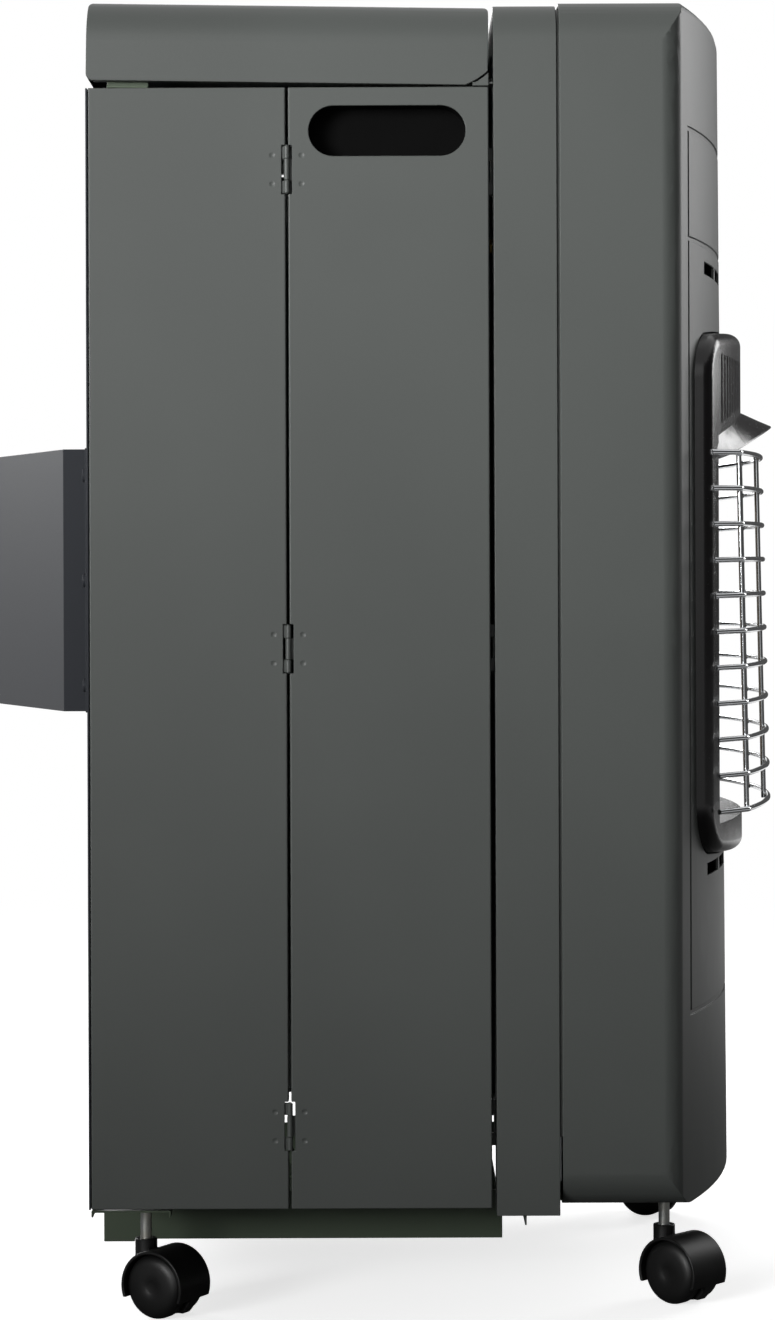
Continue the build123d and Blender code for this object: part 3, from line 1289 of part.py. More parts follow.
def bulge_cover():
    """Formed cover that stands out of the rear panel, with a flange each side."""
    body = bulge_plan(0, BULGE_Z0, BULGE_Z1)
    inner = bulge_plan(SHEET, BULGE_Z0 + SHEET, BULGE_Z1 - SHEET)
    side = BULGE_STEP_X - SHEET
    y0 = REAR_FACE + SHEET
    inner += block(-side, side, REAR_FACE, y0 + 1, BULGE_Z0 + SHEET, BULGE_Z1 - SHEET)
    flange = block(BULGE_STEP_X - SHEET, BULGE_FLANGE_X, y0, y0 + BULGE_FLANGE_T, BULGE_Z0, BULGE_Z1)
    cover = fused([body - inner, flange, mirrored(flange)])
    for x, z in bulge_screw_places():
        cover -= rod_y(x, REAR_FACE, y0 + 3, z, SCREW_R)
    save("bulge_cover", cover)


def bulge_screws():
    screws = []
    y = REAR_FACE + SHEET + BULGE_FLANGE_T
    for x, z in bulge_screw_places():
        head = rod_y(x, y, y + SCREW_HEAD_H, z, SCREW_HEAD_R)
        head = fillet(head.edges().filter_by(GeomType.CIRCLE).group_by(Axis.Y)[-1], 1.0)
        floor = y + SLOT_FLOOR
        level = block(x - CROSS_REACH, x + CROSS_REACH, floor, y + 3, z - SLOT_HALF, z + SLOT_HALF)
        upright = block(x - SLOT_HALF, x + SLOT_HALF, floor, y + 3, z - CROSS_REACH, z + CROSS_REACH)
        screws.append(fused([head, rod_y(x, y - 6, y, z, SCREW_R)]) - level - upright)
    save("bulge_screws", *screws)


def channel_top():
    return PANEL_BOTTOM - CHANNEL_SINK


def rear_caster_channel():
    """Channel plate in each rear corner, with the tray's way left open between the two."""
    top = channel_top()
    low = top - CHANNEL_DROP
    x0 = TRAY_X + TRAY_WAY
    plate = block(x0, CHANNEL_X, CHANNEL_FRONT, REAR_FACE, top - SHEET, top)
    front_lip = block(x0, CHANNEL_X, CHANNEL_FRONT, CHANNEL_FRONT + SHEET, low, top)
    rear_lip = block(x0, CHANNEL_X, REAR_FACE - SHEET, REAR_FACE, low, top)
    lap = block(x0, EDGE_AXIS_X - 14, REAR_FACE - SHEET, REAR_FACE, low, top + CHANNEL_LAP)
    body = fused([plate, front_lip, rear_lip, lap])
    body -= rod_z(REAR_CASTER[0], REAR_CASTER[1], low, top + 1, STEM_R)
    save("rear_caster_channel", both_sides(body))


# ---------- casters ----------
def stem(x, y, top):
    return rod_z(x, y, STEM_BOTTOM, top, STEM_R)


def front_caster_stems():
    """Each stem goes through the floor of the shell and its plate, with a nut above them."""
    x, y = FRONT_CASTER
    floor = base_z() + BASE_T
    nut = Pos(x, y, floor) * extrude(RegularPolygon(NUT_R, 6), amount=NUT_H)
    save("front_caster_stems", both_sides(fused([stem(x, y, floor + NUT_H + 1.5), nut])))


def rear_caster_stems():
    """Each stem is riveted into the channel plate, with a small flange below it."""
    x, y = REAR_CASTER
    top = channel_top()
    flange = rod_z(x, y, top - SHEET - FLANGE_T, top - SHEET, FLANGE_R)
    save("rear_caster_stems", both_sides(fused([stem(x, y, top), flange])))


def caster_hood():
    """Hood in its own frame: stem axis on Z, trail along +X, axle along Y."""
    half = WHEEL_GAP - WHEEL_CLEAR
    wide = WHEEL_GAP + WHEEL_W
    over = Pos(TRAIL, 0, WHEEL_R) * Rot(90, 0, 0)
    web = over * Cylinder(FENDER_R, 2 * half)
    cover = over * Cylinder(FENDER_R, 2 * wide) - over * Cylinder(FENDER_R - FENDER_T, 2 * wide + 2)
    cover &= block(TRAIL - 40, TRAIL + 40, -40, 40, WHEEL_R - FENDER_DROP, WHEEL_R + 40)
    neck = rod_z(0, 0, HOOD_TOP - 14, NECK_TOP, NECK_R)
    outline = over * Cylinder(FENDER_R, 40) + rod_z(0, 0, 0, NECK_TOP, NECK_R)
    bridge = block(-1, TRAIL, -half, half, WHEEL_R, HOOD_TOP - 1) & outline
    body = fused([web, cover, neck, bridge])
    body &= block(-60, 60, -40, 40, 3.0, NECK_TOP)
    for side in (-1, 1):
        space = Pos(TRAIL, side * (half + 20), WHEEL_R) * Rot(90, 0, 0)
        body -= space * Cylinder(WHEEL_R + WHEEL_CLEAR, 40)
    body -= rod_z(0, 0, STEM_BOTTOM - 0.5, NECK_TOP + 1, STEM_R + STEM_CLEAR)
    body -= over * Cylinder(AXLE_R + FIT, 4 * wide)
    return body


def caster_wheels():
    """Two wheels on their axle, in the hood's frame, with a softly rounded outer face."""
    over = Pos(TRAIL, 0, WHEEL_R) * Rot(90, 0, 0)
    shapes = [over * Cylinder(AXLE_R, 2 * (WHEEL_GAP + WHEEL_W) - 2)]
    for side in (-1, 1):
        mid = side * (WHEEL_GAP + WHEEL_W / 2)
        wheel = Pos(TRAIL, mid, WHEEL_R) * Rot(90, 0, 0) * Cylinder(WHEEL_R, WHEEL_W)
        rims = sorted(wheel.edges().filter_by(GeomType.CIRCLE), key=lambda e: side * e.center().Y)
        wheel = fillet(rims[0], WHEEL_EDGE_R)
        outer = [e for e in wheel.edges().filter_by(GeomType.CIRCLE) if side * e.center().Y > abs(mid) + 1]
        shapes.append(fillet(outer, WHEEL_FACE_R))
    return fused(shapes)


def casters():
    for name, angle in CASTER_TRAILS.items():
        base = FRONT_CASTER if name.startswith("front") else REAR_CASTER
        side = -1 if name.endswith("left") else 1
        place = Pos(side * base[0], base[1], 0) * Rot(0, 0, angle)
        save(f"{name}_caster_hood", place * caster_hood())
        save(f"{name}_caster_wheels", place * caster_wheels())


# ---------- bottle tray ----------
def bottle_tray():
    """Folded tray with upstanding sides, a deeper rear tab and two arms to its pins."""
    t = TRAY_SHEET
    pan = block(-TRAY_X, TRAY_X, TRAY_FRONT, TRAY_REAR, TRAY_BOTTOM, TRAY_TOP)
    pan -= block(-TRAY_X + t, TRAY_X - t, TRAY_FRONT + t, TRAY_REAR - t, TRAY_BOTTOM + t, TRAY_TOP + 1)
    pan -= block(-TRAY_X + 14, TRAY_X - 14, TRAY_FRONT - 1, TRAY_FRONT + 2, TRAY_BOTTOM + 14, TRAY_TOP + 1)
    pan -= block(-TRAY_X + 14, TRAY_X - 14, TRAY_REAR - 2, TRAY_REAR + 1, TRAY_BOTTOM + 8, TRAY_TOP + 1)
    tab_z = TRAY_BOTTOM - TRAY_TAB_DROP
    tab = block(TRAY_X - t, TRAY_X, TRAY_REAR - TRAY_TAB, TRAY_REAR, tab_z, TRAY_BOTTOM + 1)
    arm = block(TRAY_X - t, TRAY_X, TRAY_PIVOT_Y, TRAY_FRONT + 2, TRAY_PIVOT_Z - 2 * TRAY_ARM_R, TRAY_PIVOT_Z)
    arm = fused([arm, rod_x(TRAY_X - t, TRAY_X, TRAY_PIVOT_Y, TRAY_PIVOT_Z, TRAY_ARM_R)])
    arm -= rod_x(TRAY_X - t - 1, TRAY_X + 1, TRAY_PIVOT_Y, TRAY_PIVOT_Z, TRAY_PIN_R + FIT)
    floor = TRAY_BOTTOM + t
    ribs = []
    for x in (-TRAY_RIB_X, 0, TRAY_RIB_X):
        ribs.append(block(x - 3, x + 3, TRAY_FRONT + 14, TRAY_REAR - 14, floor, floor + TRAY_RIB_H))
    pan -= rod_x(-TRAY_X - 1, TRAY_X + 1, TRAY_PIVOT_Y, TRAY_PIVOT_Z, TRAY_PIN_R + FIT)
    save("bottle_tray", fused([pan, tab, mirrored(tab), arm, mirrored(arm), *ribs]))


def tray_hinge_brackets():
    x0 = TRAY_X + 1.0
    x1 = x0 + LEAF_T
    top = base_z()
    ear = block(x0, x1, SHELL_REAR - 6, TRAY_PIVOT_Y + 7, TRAY_PIVOT_Z - 6, top)
    cap = block(x0, x1 + 12, SHELL_REAR - 14, SHELL_REAR, top - LEAF_T, top)
    body = fused([ear, cap])
    body -= rod_x(x0 - 1, x1 + 1, TRAY_PIVOT_Y, TRAY_PIVOT_Z, TRAY_PIN_R)
    pin = rod_x(TRAY_X - TRAY_SHEET - 1.0, x1, TRAY_PIVOT_Y, TRAY_PIVOT_Z, TRAY_PIN_R)
    pin += rod_x(x1, x1 + 1.5, TRAY_PIVOT_Y, TRAY_PIVOT_Z, TRAY_PIN_R + 1.2)
    save("tray_hinge_brackets", both_sides(body), both_sides(pin))


os.makedirs("parts", exist_ok=True)
front_shell()
mid_frame()
front_base_plate()
heat_shield()
shield_screws()
window_bezel()
visor()
wire_guard()
burner_box()
ceramic_plaques()
burner_bodies()
gas_rail()
injectors()
control_well()
control_knob()
valve_spindle()
thrust_collar()
gas_valve()
piezo_button()
piezo_igniter()
inlet_pipe()
inlet_nozzle()
burner_pipe()
pilot_pipe()
pilot_burner()
thermocouple()
spark_electrode()
ignition_lead()
panel_leaves()
frame_hinge_leaves()
rear_hinge_leaves()
side_panels()
handle_cups()
lid()
lid_brackets()
lid_hinge_brackets()
rear_panel()
bulge_cover()
bulge_screws()
rear_caster_channel()
front_caster_stems()
rear_caster_stems()
casters()
bottle_tray()
tray_hinge_brackets()
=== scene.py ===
"""Portable gas cabinet heater: its finishes, fine pieces and studio, round the fixed frame. Metres, +Z up."""

import json
import math

import bmesh
import bpy
from bpy.props import FloatProperty, FloatVectorProperty, IntProperty, PointerProperty
from mathutils import Matrix, Vector

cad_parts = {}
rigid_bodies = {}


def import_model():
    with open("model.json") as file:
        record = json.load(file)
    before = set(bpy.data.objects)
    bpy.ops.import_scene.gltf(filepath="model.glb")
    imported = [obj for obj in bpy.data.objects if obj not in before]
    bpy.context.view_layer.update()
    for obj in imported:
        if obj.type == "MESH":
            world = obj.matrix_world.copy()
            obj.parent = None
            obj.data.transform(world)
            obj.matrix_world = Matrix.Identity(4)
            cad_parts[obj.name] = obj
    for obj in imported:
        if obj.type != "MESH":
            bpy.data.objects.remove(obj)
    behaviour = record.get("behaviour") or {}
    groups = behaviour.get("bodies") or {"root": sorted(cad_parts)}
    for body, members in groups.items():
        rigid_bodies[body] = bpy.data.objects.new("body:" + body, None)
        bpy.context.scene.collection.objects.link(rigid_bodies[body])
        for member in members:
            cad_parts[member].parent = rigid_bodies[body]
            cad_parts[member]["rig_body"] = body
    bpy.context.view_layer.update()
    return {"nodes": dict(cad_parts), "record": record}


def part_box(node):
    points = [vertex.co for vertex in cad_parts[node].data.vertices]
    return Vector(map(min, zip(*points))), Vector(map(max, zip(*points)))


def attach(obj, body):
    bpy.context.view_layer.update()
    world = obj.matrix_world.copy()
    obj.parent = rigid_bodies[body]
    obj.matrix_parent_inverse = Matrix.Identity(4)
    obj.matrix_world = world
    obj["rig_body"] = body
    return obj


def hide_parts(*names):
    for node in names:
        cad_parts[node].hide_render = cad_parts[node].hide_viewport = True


bl_info = {
    "name": "Portable gas cabinet heater",
    "version": (1, 0, 0),
    "blender": (4, 5, 0),
    "location": "3D View > Sidebar > Heater",
    "description": "Finishes, fine pieces and studio of a folding gas cabinet heater",
    "category": "Object",
}

for leftover in list(bpy.data.objects):
    bpy.data.objects.remove(leftover)
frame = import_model()

MM = 0.001
WELD = 1e-6
FLAT = math.radians(0.35)
SHARP = math.radians(28)
ROUND_SHARE = 0.4  # of the room beside an edge, at most, for its rounding
STRAIGHT_ON = math.radians(140)  # an edge that turns less than this goes on along the same form
FRONT_BODY = "front_body"
CASTERS = ("front_left", "front_right", "rear_left", "rear_right")
# radius and distance from the middle of the axle, in millimetres: from the middle of a wheel's outer face to its
# inner face
WHEEL_PROFILE = (
    (0, 14.1), (2.6, 14.15), (3.6, 14.4), (5, 14.75), (8, 14.85), (12, 14.6), (14.6, 14.1), (16.2, 13.3),
    (17.4, 12.1), (18, 10.9), (18.2, 9.6), (18.2, 5.6), (18, 4.7), (17.3, 4.1), (16.4, 4), (0, 4),
)
# the bowed wires of the wire guard, in millimetres
GUARD_HALF = 156.0  # half chord of a bow
GUARD_SIDE_Y = -200.5  # the bow's ends
GUARD_MIDDLE_Y = -227.0  # the bow's middle
GUARD_HANG = (-182.1, 490.2)  # Y and Z of the top row, about which the guard leans
GUARD_LEAN = math.radians(1.1)
GUARD_POSTS = (-148.0, -45.0, 45.0, 148.0)  # X of the upright wires
GUARD_ROWS = 11
GUARD_PITCH = 20.45
BEAD_BEHIND = 1.3  # from the middle of a bowed wire to the joint with the upright
BEAD_SHAPE = (1, 0.62, 0.92, 1)
# the bars printed beside the knob, in millimetres
DIAL_BARS = (1.6, 2.4, 3.2)
DIAL_GAP = 2.2  # from the knob to the bars
DIAL_HALF = 0.45  # half width of a bar
DIAL_TURN = 60  # degrees from bar to bar
DIAL_FLOOR = 1.0  # thickness of the control well's floor
INK = (-0.02, 0.08)  # the ink's underside and top
# the view, as in the photograph
CAMERA_Y = 1.85 * MM
SENSOR_WIDTH = 36
PHOTO_HEIGHT = 1320
HORIZON_ABOVE = 86  # pixels from the middle of the photograph up to the horizon
VIEW_END = 60
# the studio, in metres and degrees from +X
FLOOR_RADIUS = 14
FLOOR_STEPS = 96
FLOOR_LIFT = 0.72  # the light that the floor seems to give near the heater
FLOOR_WHITE = (0.7, 2.2)  # from where the floor turns white, and where it is all white
WALL_RADIUS = 3.2
WALL_HEIGHT = 2.6
WALL_ARC = range(70, 351, 5)
WALL_LEVEL = 0.08
# each lamp's place, aim, width and height, its setting for the power, and its beam
LAMPS = (
    ("side_lamp", (-2.3, 1.5, 0.95), (-0.2, -0.45, 1.0), (1.1, 1.0), "key", 54),
    ("front_lamp", (1.6, -2.0, 1.2), (0, -0.2, 0.55), (0.9, 1.1), "front", 110),
    ("far_lamp", (2.5, 0.5, 1.2), (0.2, 0, 0.5), (1.2, 1.2), "far", 110),
    ("rear_lamp", (1.7, 2.0, 1.2), (0, 0.2, 0.5), (1.0, 1.1), "far", 110),
    ("top_lamp", (0.3, 0.1, 2.6), (0, 0, 0.4), (1.6, 1.6), "top", 180),
)


def srgb(red, green, blue):
    """A colour given as it is seen, 0 to 255, in the linear values that a shader takes."""
    out = []
    for value in (red, green, blue):
        c = value / 255
        out.append(c / 12.92 if c <= 0.04045 else ((c + 0.055) / 1.055) ** 2.4)
    return tuple(out)


def colour_setting(name, description, colour):
    """A setting that holds a linear colour."""
    return FloatVectorProperty(
        name=name, description=description, default=colour, subtype="COLOR", size=3, min=0, max=1
    )


def length_setting(name, description, metres):
    """A setting that holds a length."""
    return FloatProperty(
        name=name, description=description, default=metres, min=0, precision=5, subtype="DISTANCE", unit="LENGTH"
    )


# ---------- settings ----------
class HeaterFinishes(bpy.types.PropertyGroup):
    """Colours of the heater's finishes."""

    cabinet: colour_setting("Cabinet", "Charcoal powder coat of the cabinet", srgb(68, 71, 69))
    rear: colour_setting("Rear", "Bluish powder coat of the rear panel and its cover", srgb(44, 46, 50))
    tray: colour_setting("Tray", "Dark green-black coat of the tray and brackets", srgb(72, 82, 68))
    bezel: colour_setting("Bezel", "Glossy enamel of the window frame and visor", srgb(20, 18, 19))
    chrome: colour_setting("Chrome", "Plating of the wire guard", srgb(208, 210, 212))
    zinc: colour_setting("Zinc", "Plating of the screws, stems and hinge leaves", srgb(196, 198, 196))
    galvanised: colour_setting("Galvanised", "Sheet behind the burners", srgb(168, 172, 174))
    reflector: colour_setting("Reflector", "Bright steel round the plaques", srgb(205, 204, 200))
    plaque: colour_setting("Plaques", "Fired ceramic of the radiant plaques", srgb(222, 212, 194))
    alloy: colour_setting("Valve", "Cast alloy of the gas valve", srgb(150, 152, 152))
    brass: colour_setting("Brass", "Jets and hose nozzle", srgb(208, 176, 106))
    copper: colour_setting("Copper", "Gas pipes", srgb(196, 122, 88))
    plastic: colour_setting("Plastic", "Black moulded parts", srgb(17, 17, 17))
    # the hand recess moulding is black, and its near-black, almost unreflecting finish is also painted shade inside
    # the hand holes
    recess_black_and_shade: colour_setting("Hand recess", "Matt black moulding behind the hand holes", srgb(6, 6, 6))
    porcelain: colour_setting("Porcelain", "Insulator of the spark electrode", srgb(232, 228, 216))
    rubber: colour_setting("Rubber", "Sleeve of the ignition lead", srgb(20, 20, 21))
    marking: colour_setting("Markings", "Printed marks by the knob", srgb(214, 214, 210))


class HeaterSizes(bpy.types.PropertyGroup):
    """Sizes of the small forms that the frame leaves plain."""

    sheet_round: length_setting("Sheet edge", "Rounding of folded and sheared sheet edges", 0.35 * MM)
    hinge_round: length_setting("Hinge edge", "Rounding of the hinge leaves' edges", 0.25 * MM)
    moulding_round: length_setting("Moulding edge", "Rounding of moulded plastic edges", 0.5 * MM)
    peel: length_setting("Orange peel", "Width of the waves in the powder coat", 1.3 * MM)
    bead: length_setting("Weld bead", "Radius of the beads where guard wires cross", 1.9 * MM)
    plaque_hole: length_setting("Plaque holes", "Distance between the holes of a plaque", 2.3 * MM)
    wheel_steps: IntProperty(name="Wheel steps", description="Faces round a caster wheel", default=72, min=12)


class HeaterStudio(bpy.types.PropertyGroup):
    """Camera, floor and lamps."""

    distance: length_setting("Camera distance", "From the camera to the middle of the heater", 2.01)
    height: length_setting("Camera height", "Height of the camera", 0.4215)
    lens: FloatProperty(name="Lens", description="Focal length", default=88.2, unit="CAMERA")
    roll: FloatProperty(name="Roll", description="Turn of the camera", default=math.radians(-0.2), subtype="ANGLE")
    key: FloatProperty(name="Key lamp", description="Power of the large side lamp", default=15.0, subtype="POWER")
    front: FloatProperty(name="Front lamp", description="Power of the front lamp", default=7.0, subtype="POWER")
    far: FloatProperty(name="Far lamps", description="Power of each far lamp", default=11.0, subtype="POWER")
    top: FloatProperty(name="Top lamp", description="Power of the lamp above", default=1.6, subtype="POWER")
    air: FloatProperty(name="Room light", description="Level of the room's plain light", default=0.13, min=0)
    card: FloatProperty(name="White card", description="Level of the card beside the camera", default=2.2, min=0)
    floor: colour_setting("Floor", "Colour of the studio floor", (0.9, 0.9, 0.9))
    bounce: colour_setting("Floor's light", "Colour that the floor throws back on the heater", (0.16, 0.16, 0.16))


# ---------- shader maths ----------
class Flow:
    """A node's output. Python's operators on it add Math nodes."""

    def __init__(self, shader, link):
        self.shader = shader
        self.link = link

    def math(self, operation, *values):
        return self.shader.node("ShaderNodeMath", {"operation": operation}, dict(enumerate(values)))

    def __add__(self, other):
        return self.math("ADD", self, other)

    def __sub__(self, other):
        return self.math("SUBTRACT", self, other)

    def __rsub__(self, other):
        return self.math("SUBTRACT", other, self)

    def __mul__(self, other):
        return self.math("MULTIPLY", self, other)

    __radd__ = __add__
    __rmul__ = __mul__

    def within(self, low, high):
        """0 at low, 1 at high and smooth between them."""
        settings = {"interpolation_type": "SMOOTHSTEP"}
        return self.shader.node("ShaderNodeMapRange", settings, {"Value": self, "From Min": low, "From Max": high})


class Shader:
    """Builds one material, or the world where one is given, node by node."""

    def __init__(self, name, world=None):
        self.material = world or bpy.data.materials.new(name)
        self.material.use_nodes = True
        self.tree = self.material.node_tree
        self.tree.nodes.clear()

    def node(self, kind, settings, sockets, output=0):
        """Adds a node. Its sockets are linked to a Flow or set to a value."""
        made = self.tree.nodes.new(kind)
        for name, value in settings.items():
            setattr(made, name, value)
        for key, value in sockets.items():
            if isinstance(value, Flow):
                self.tree.links.new(value.link, made.inputs[key])
            else:
                made.inputs[key].default_value = value
        return Flow(self, made.outputs[output]) if made.outputs else None

    def place(self, stretch=(1, 1, 1)):
        """Position on the piece in metres, stretched along its axes."""
        spot = self.node("ShaderNodeTexCoord", {}, {}, "Object")
        return self.node("ShaderNodeMapping", {}, {"Vector": spot, "Scale": stretch})

    def axis(self, name):
        """One coordinate of the position on the piece."""
        return self.node("ShaderNodeSeparateXYZ", {}, {"Vector": self.place()}, name)

    def noise(self, size, detail=2.0, roughness=0.5, stretch=(1, 1, 1)):
        """Cloudy values from 0 to 1, whose patches are about size across."""
        sockets = {"Vector": self.place(stretch), "Scale": 1 / size, "Detail": detail, "Roughness": roughness}
        return self.node("ShaderNodeTexNoise", {}, sockets)

    def cells(self, size, feature="F1", output="Distance"):
        """Cells of about size across."""
        sockets = {"Vector": self.place(), "Scale": 1 / size}
        return self.node("ShaderNodeTexVoronoi", {"feature": feature}, sockets, output)

    def mix(self, amount, first, second):
        """Colour between two colours."""
        sockets = {0: amount}
        for key, value in ((6, first), (7, second)):
            sockets[key] = value if isinstance(value, Flow) else (*value, 1)
        return self.node("ShaderNodeMix", {"data_type": "RGBA"}, sockets, 2)

    def bump(self, height, distance):
        """The normal of a surface that rises by the distance where the height is 1."""
        return self.node("ShaderNodeBump", {}, {"Height": height, "Distance": distance, "Strength": 1.0})

    def finish(self, **sockets):
        """Closes the material with one surface shader. An underscore in a name stands for a space."""
        named = {key.replace("_", " "): value for key, value in sockets.items()}
        colour = named["Base Color"]
        named["Base Color"] = colour if isinstance(colour, Flow) else (*colour, 1)
        surface = self.node("ShaderNodeBsdfPrincipled", {}, named)
        self.node("ShaderNodeOutputMaterial", {}, {"Surface": surface})
        return self.material


def tone(colour, amount):
    """The colour, lighter or darker by a share of itself."""
    return tuple(min(1.0, c * (1 + amount)) for c in colour)


def leaning(colour, other, amount):
    """The colour, moved by a share towards another."""
    return tuple(a + (b - a) * amount for a, b in zip(colour, other))


# ---------- finishes ----------
def powder_coat(name, colour, peel, roughness=0.44, gloss=0.3):
    """Satin powder coat: fine orange peel, soft cloudiness and a few duller patches."""
    s = Shader(name)
    cloud = s.noise(0.16, 3.0)
    fleck = s.noise(peel * 0.42, 2.0, 0.6)
    base = s.mix(cloud.within(0.3, 0.7), tone(colour, -0.055), tone(colour, 0.05))
    base = s.mix(fleck.within(0.35, 0.75) * 0.35, base, tone(colour, 0.16))
    waves = s.noise(peel, 1.5, 0.45)
    grain = s.noise(peel * 0.25, 2.0, 0.6)
    height = waves + grain * 0.3
    rough = roughness + (cloud - 0.5) * 0.07 + (grain - 0.5) * 0.08
    return s.finish(
        Base_Color=base,
        Roughness=rough,
        Normal=s.bump(height, 0.016 * MM),
        Specular_IOR_Level=gloss,
    )


def enamel(name, colour):
    """Glossy black enamel, with long soft waves from spraying and fine dust in it."""
    s = Shader(name)
    waves = s.noise(0.006, 1.0, 0.4)
    dust = s.cells(0.0045).within(0.1, 0.02)
    base = s.mix(s.noise(0.05, 2.0).within(0.3, 0.7), tone(colour, -0.1), tone(colour, 0.18))
    return s.finish(
        Base_Color=base,
        Roughness=0.2 + s.noise(0.03, 3.0) * 0.1 + dust * 0.12,
        Normal=s.bump(waves + dust * 0.1, 0.035 * MM),
        Specular_IOR_Level=0.35,
    )


def plating(name, colour, roughness, streak, haze):
    """Bright plating, with drawing marks along one way and a thin haze."""
    s = Shader(name)
    marks = s.noise(0.0012, 2.0, 0.6, streak)
    cloud = s.noise(0.02, 3.0)
    base = s.mix(cloud.within(0.35, 0.75), colour, tone(colour, -haze))
    return s.finish(
        Base_Color=base,
        Metallic=1.0,
        Roughness=roughness + (marks - 0.5) * roughness * 0.6 + cloud.within(0.4, 0.8) * haze * 0.4,
        Normal=s.bump(marks, 0.008 * MM),
    )


def zinc_plate(name, colour):
    """Passivated zinc: grey-white with a faint straw and blue cast and small dull spots."""
    s = Shader(name)
    cast = s.noise(0.012, 2.0).within(0.3, 0.7)
    spots = s.cells(0.0016).within(0.35, 0.1)
    base = s.mix(cast, leaning(colour, srgb(196, 186, 150), 0.25), leaning(colour, srgb(150, 160, 176), 0.25))
    base = s.mix(spots * 0.4, base, tone(colour, -0.3))
    return s.finish(
        Base_Color=base,
        Metallic=0.92,
        Roughness=0.3 + spots * 0.2 + cast * 0.06,
        Normal=s.bump(s.noise(0.0006, 2.0), 0.012 * MM),
    )


def spangle(name, colour):
    """Hot galvanised sheet: crystal patches that differ in shade and gloss."""
    s = Shader(name)
    patch = s.node("ShaderNodeSeparateColor", {}, {"Color": s.cells(0.009, output="Color")})
    seam = s.cells(0.009, "DISTANCE_TO_EDGE").within(0.04, 0.0)
    base = s.mix(patch, tone(colour, -0.22), tone(colour, 0.1))
    base = s.mix(seam * 0.3, base, tone(colour, -0.35))
    return s.finish(
        Base_Color=base,
        Metallic=0.9,
        Roughness=0.34 + patch * 0.2 + s.noise(0.03, 3.0) * 0.08,
        Normal=s.bump(patch * 0.4 + s.noise(0.001, 2.0) * 0.4, 0.02 * MM),
    )


def reflector_steel(name, colour):
    """Bright rolled steel round the plaques, tinted straw and blue where it gets hot."""
    s = Shader(name)
    grain = s.noise(0.002, 3.0, 0.6, (0.04, 1, 1))
    depth = s.axis("Y")
    heat = depth.within(-0.168, -0.151) * s.noise(0.05, 3.0).within(0.15, 0.65)
    base = s.mix(heat * 0.75, colour, srgb(176, 142, 96))
    base = s.mix(heat.within(0.72, 1.0) * 0.6, base, srgb(86, 92, 128))
    return s.finish(
        Base_Color=base,
        Metallic=1.0,
        Roughness=0.17 + grain * 0.12 + heat * 0.14,
        Normal=s.bump(grain, 0.012 * MM),
    )


def plaque_ceramic(name, colour, pitch):
    """Fired plaque with a close grid of burner holes, rubbed darker between them; the holes are coloured dark as
    painted shade inside them.
    """
    s = Shader(name)
    row = pitch * math.sqrt(3)
    grids = []
    for shift in (0.0, 0.5):
        sockets = {"Vector": s.place((1 / pitch, 0, 1 / row)), "Location": (shift, 0, shift)}
        moved = s.node("ShaderNodeMapping", {}, sockets)
        part = s.node("ShaderNodeVectorMath", {"operation": "FRACTION"}, {0: moved})
        centred = s.node("ShaderNodeVectorMath", {"operation": "SUBTRACT"}, {0: part, 1: (0.5, 0, 0.5)})
        sized = s.node("ShaderNodeVectorMath", {"operation": "MULTIPLY"}, {0: centred, 1: (1, 0, row / pitch)})
        grids.append(s.node("ShaderNodeVectorMath", {"operation": "LENGTH"}, {0: sized}, "Value"))
    reach = grids[0].math("MINIMUM", grids[0], grids[1])
    hole = reach.within(0.33, 0.25)
    stain = s.noise(0.035, 4.0).within(0.42, 0.8)
    base = s.mix(stain * 0.5, colour, srgb(186, 150, 118))
    base = s.mix(s.noise(0.0009, 2.0).within(0.4, 0.8) * 0.3, base, tone(colour, -0.22))
    # painted shade: each burner hole is coloured dark brown for the shade inside it
    base = s.mix(hole, base, srgb(38, 30, 25))
    return s.finish(
        Base_Color=base,
        Roughness=0.86 + stain * 0.08,
        Normal=s.bump((1 - hole) + s.noise(0.0012, 3.0) * 0.12, 0.5 * MM),
    )


def cast_alloy(name, colour):
    """Die-cast alloy with a sandy skin and dull hollows."""
    s = Shader(name)
    sand = s.noise(0.0008, 3.0, 0.6)
    cloud = s.noise(0.02, 3.0)
    base = s.mix(cloud.within(0.3, 0.7), tone(colour, -0.18), tone(colour, 0.06))
    return s.finish(
        Base_Color=base,
        Metallic=0.88,
        Roughness=0.42 + sand * 0.16,
        Normal=s.bump(sand, 0.05 * MM),
    )


def soft_metal(name, colour, dull, roughness):
    """Brass or copper: machined or drawn, going dull in patches."""
    s = Shader(name)
    patches = s.noise(0.014, 4.0).within(0.4, 0.75)
    marks = s.noise(0.0007, 2.0, 0.6)
    base = s.mix(patches * 0.7, colour, dull)
    return s.finish(
        Base_Color=base,
        Metallic=0.97,
        Roughness=roughness + patches * 0.2 + (marks - 0.5) * 0.08,
        Normal=s.bump(marks, 0.01 * MM),
    )


def moulded_plastic(name, colour, roughness=0.42, gloss=0.3):
    """Black moulding with a fine spark-eroded texture and slight sheen changes."""
    s = Shader(name)
    texture = s.noise(0.0007, 2.0, 0.6)
    flow = s.noise(0.018, 2.0)
    base = s.mix(flow.within(0.3, 0.7), tone(colour, -0.12), tone(colour, 0.22))
    return s.finish(
        Base_Color=base,
        Roughness=roughness + (flow - 0.5) * 0.14 + (texture - 0.5) * 0.1,
        Normal=s.bump(texture, 0.03 * MM),
        Specular_IOR_Level=gloss,
    )


def porcelain(name, colour):
    """Glazed porcelain, a little uneven."""
    s = Shader(name)
    cloud = s.noise(0.006, 3.0)
    base = s.mix(cloud.within(0.4, 0.8) * 0.5, colour, tone(colour, -0.15))
    return s.finish(Base_Color=base, Roughness=0.16 + cloud * 0.12, Normal=s.bump(cloud, 0.02 * MM))


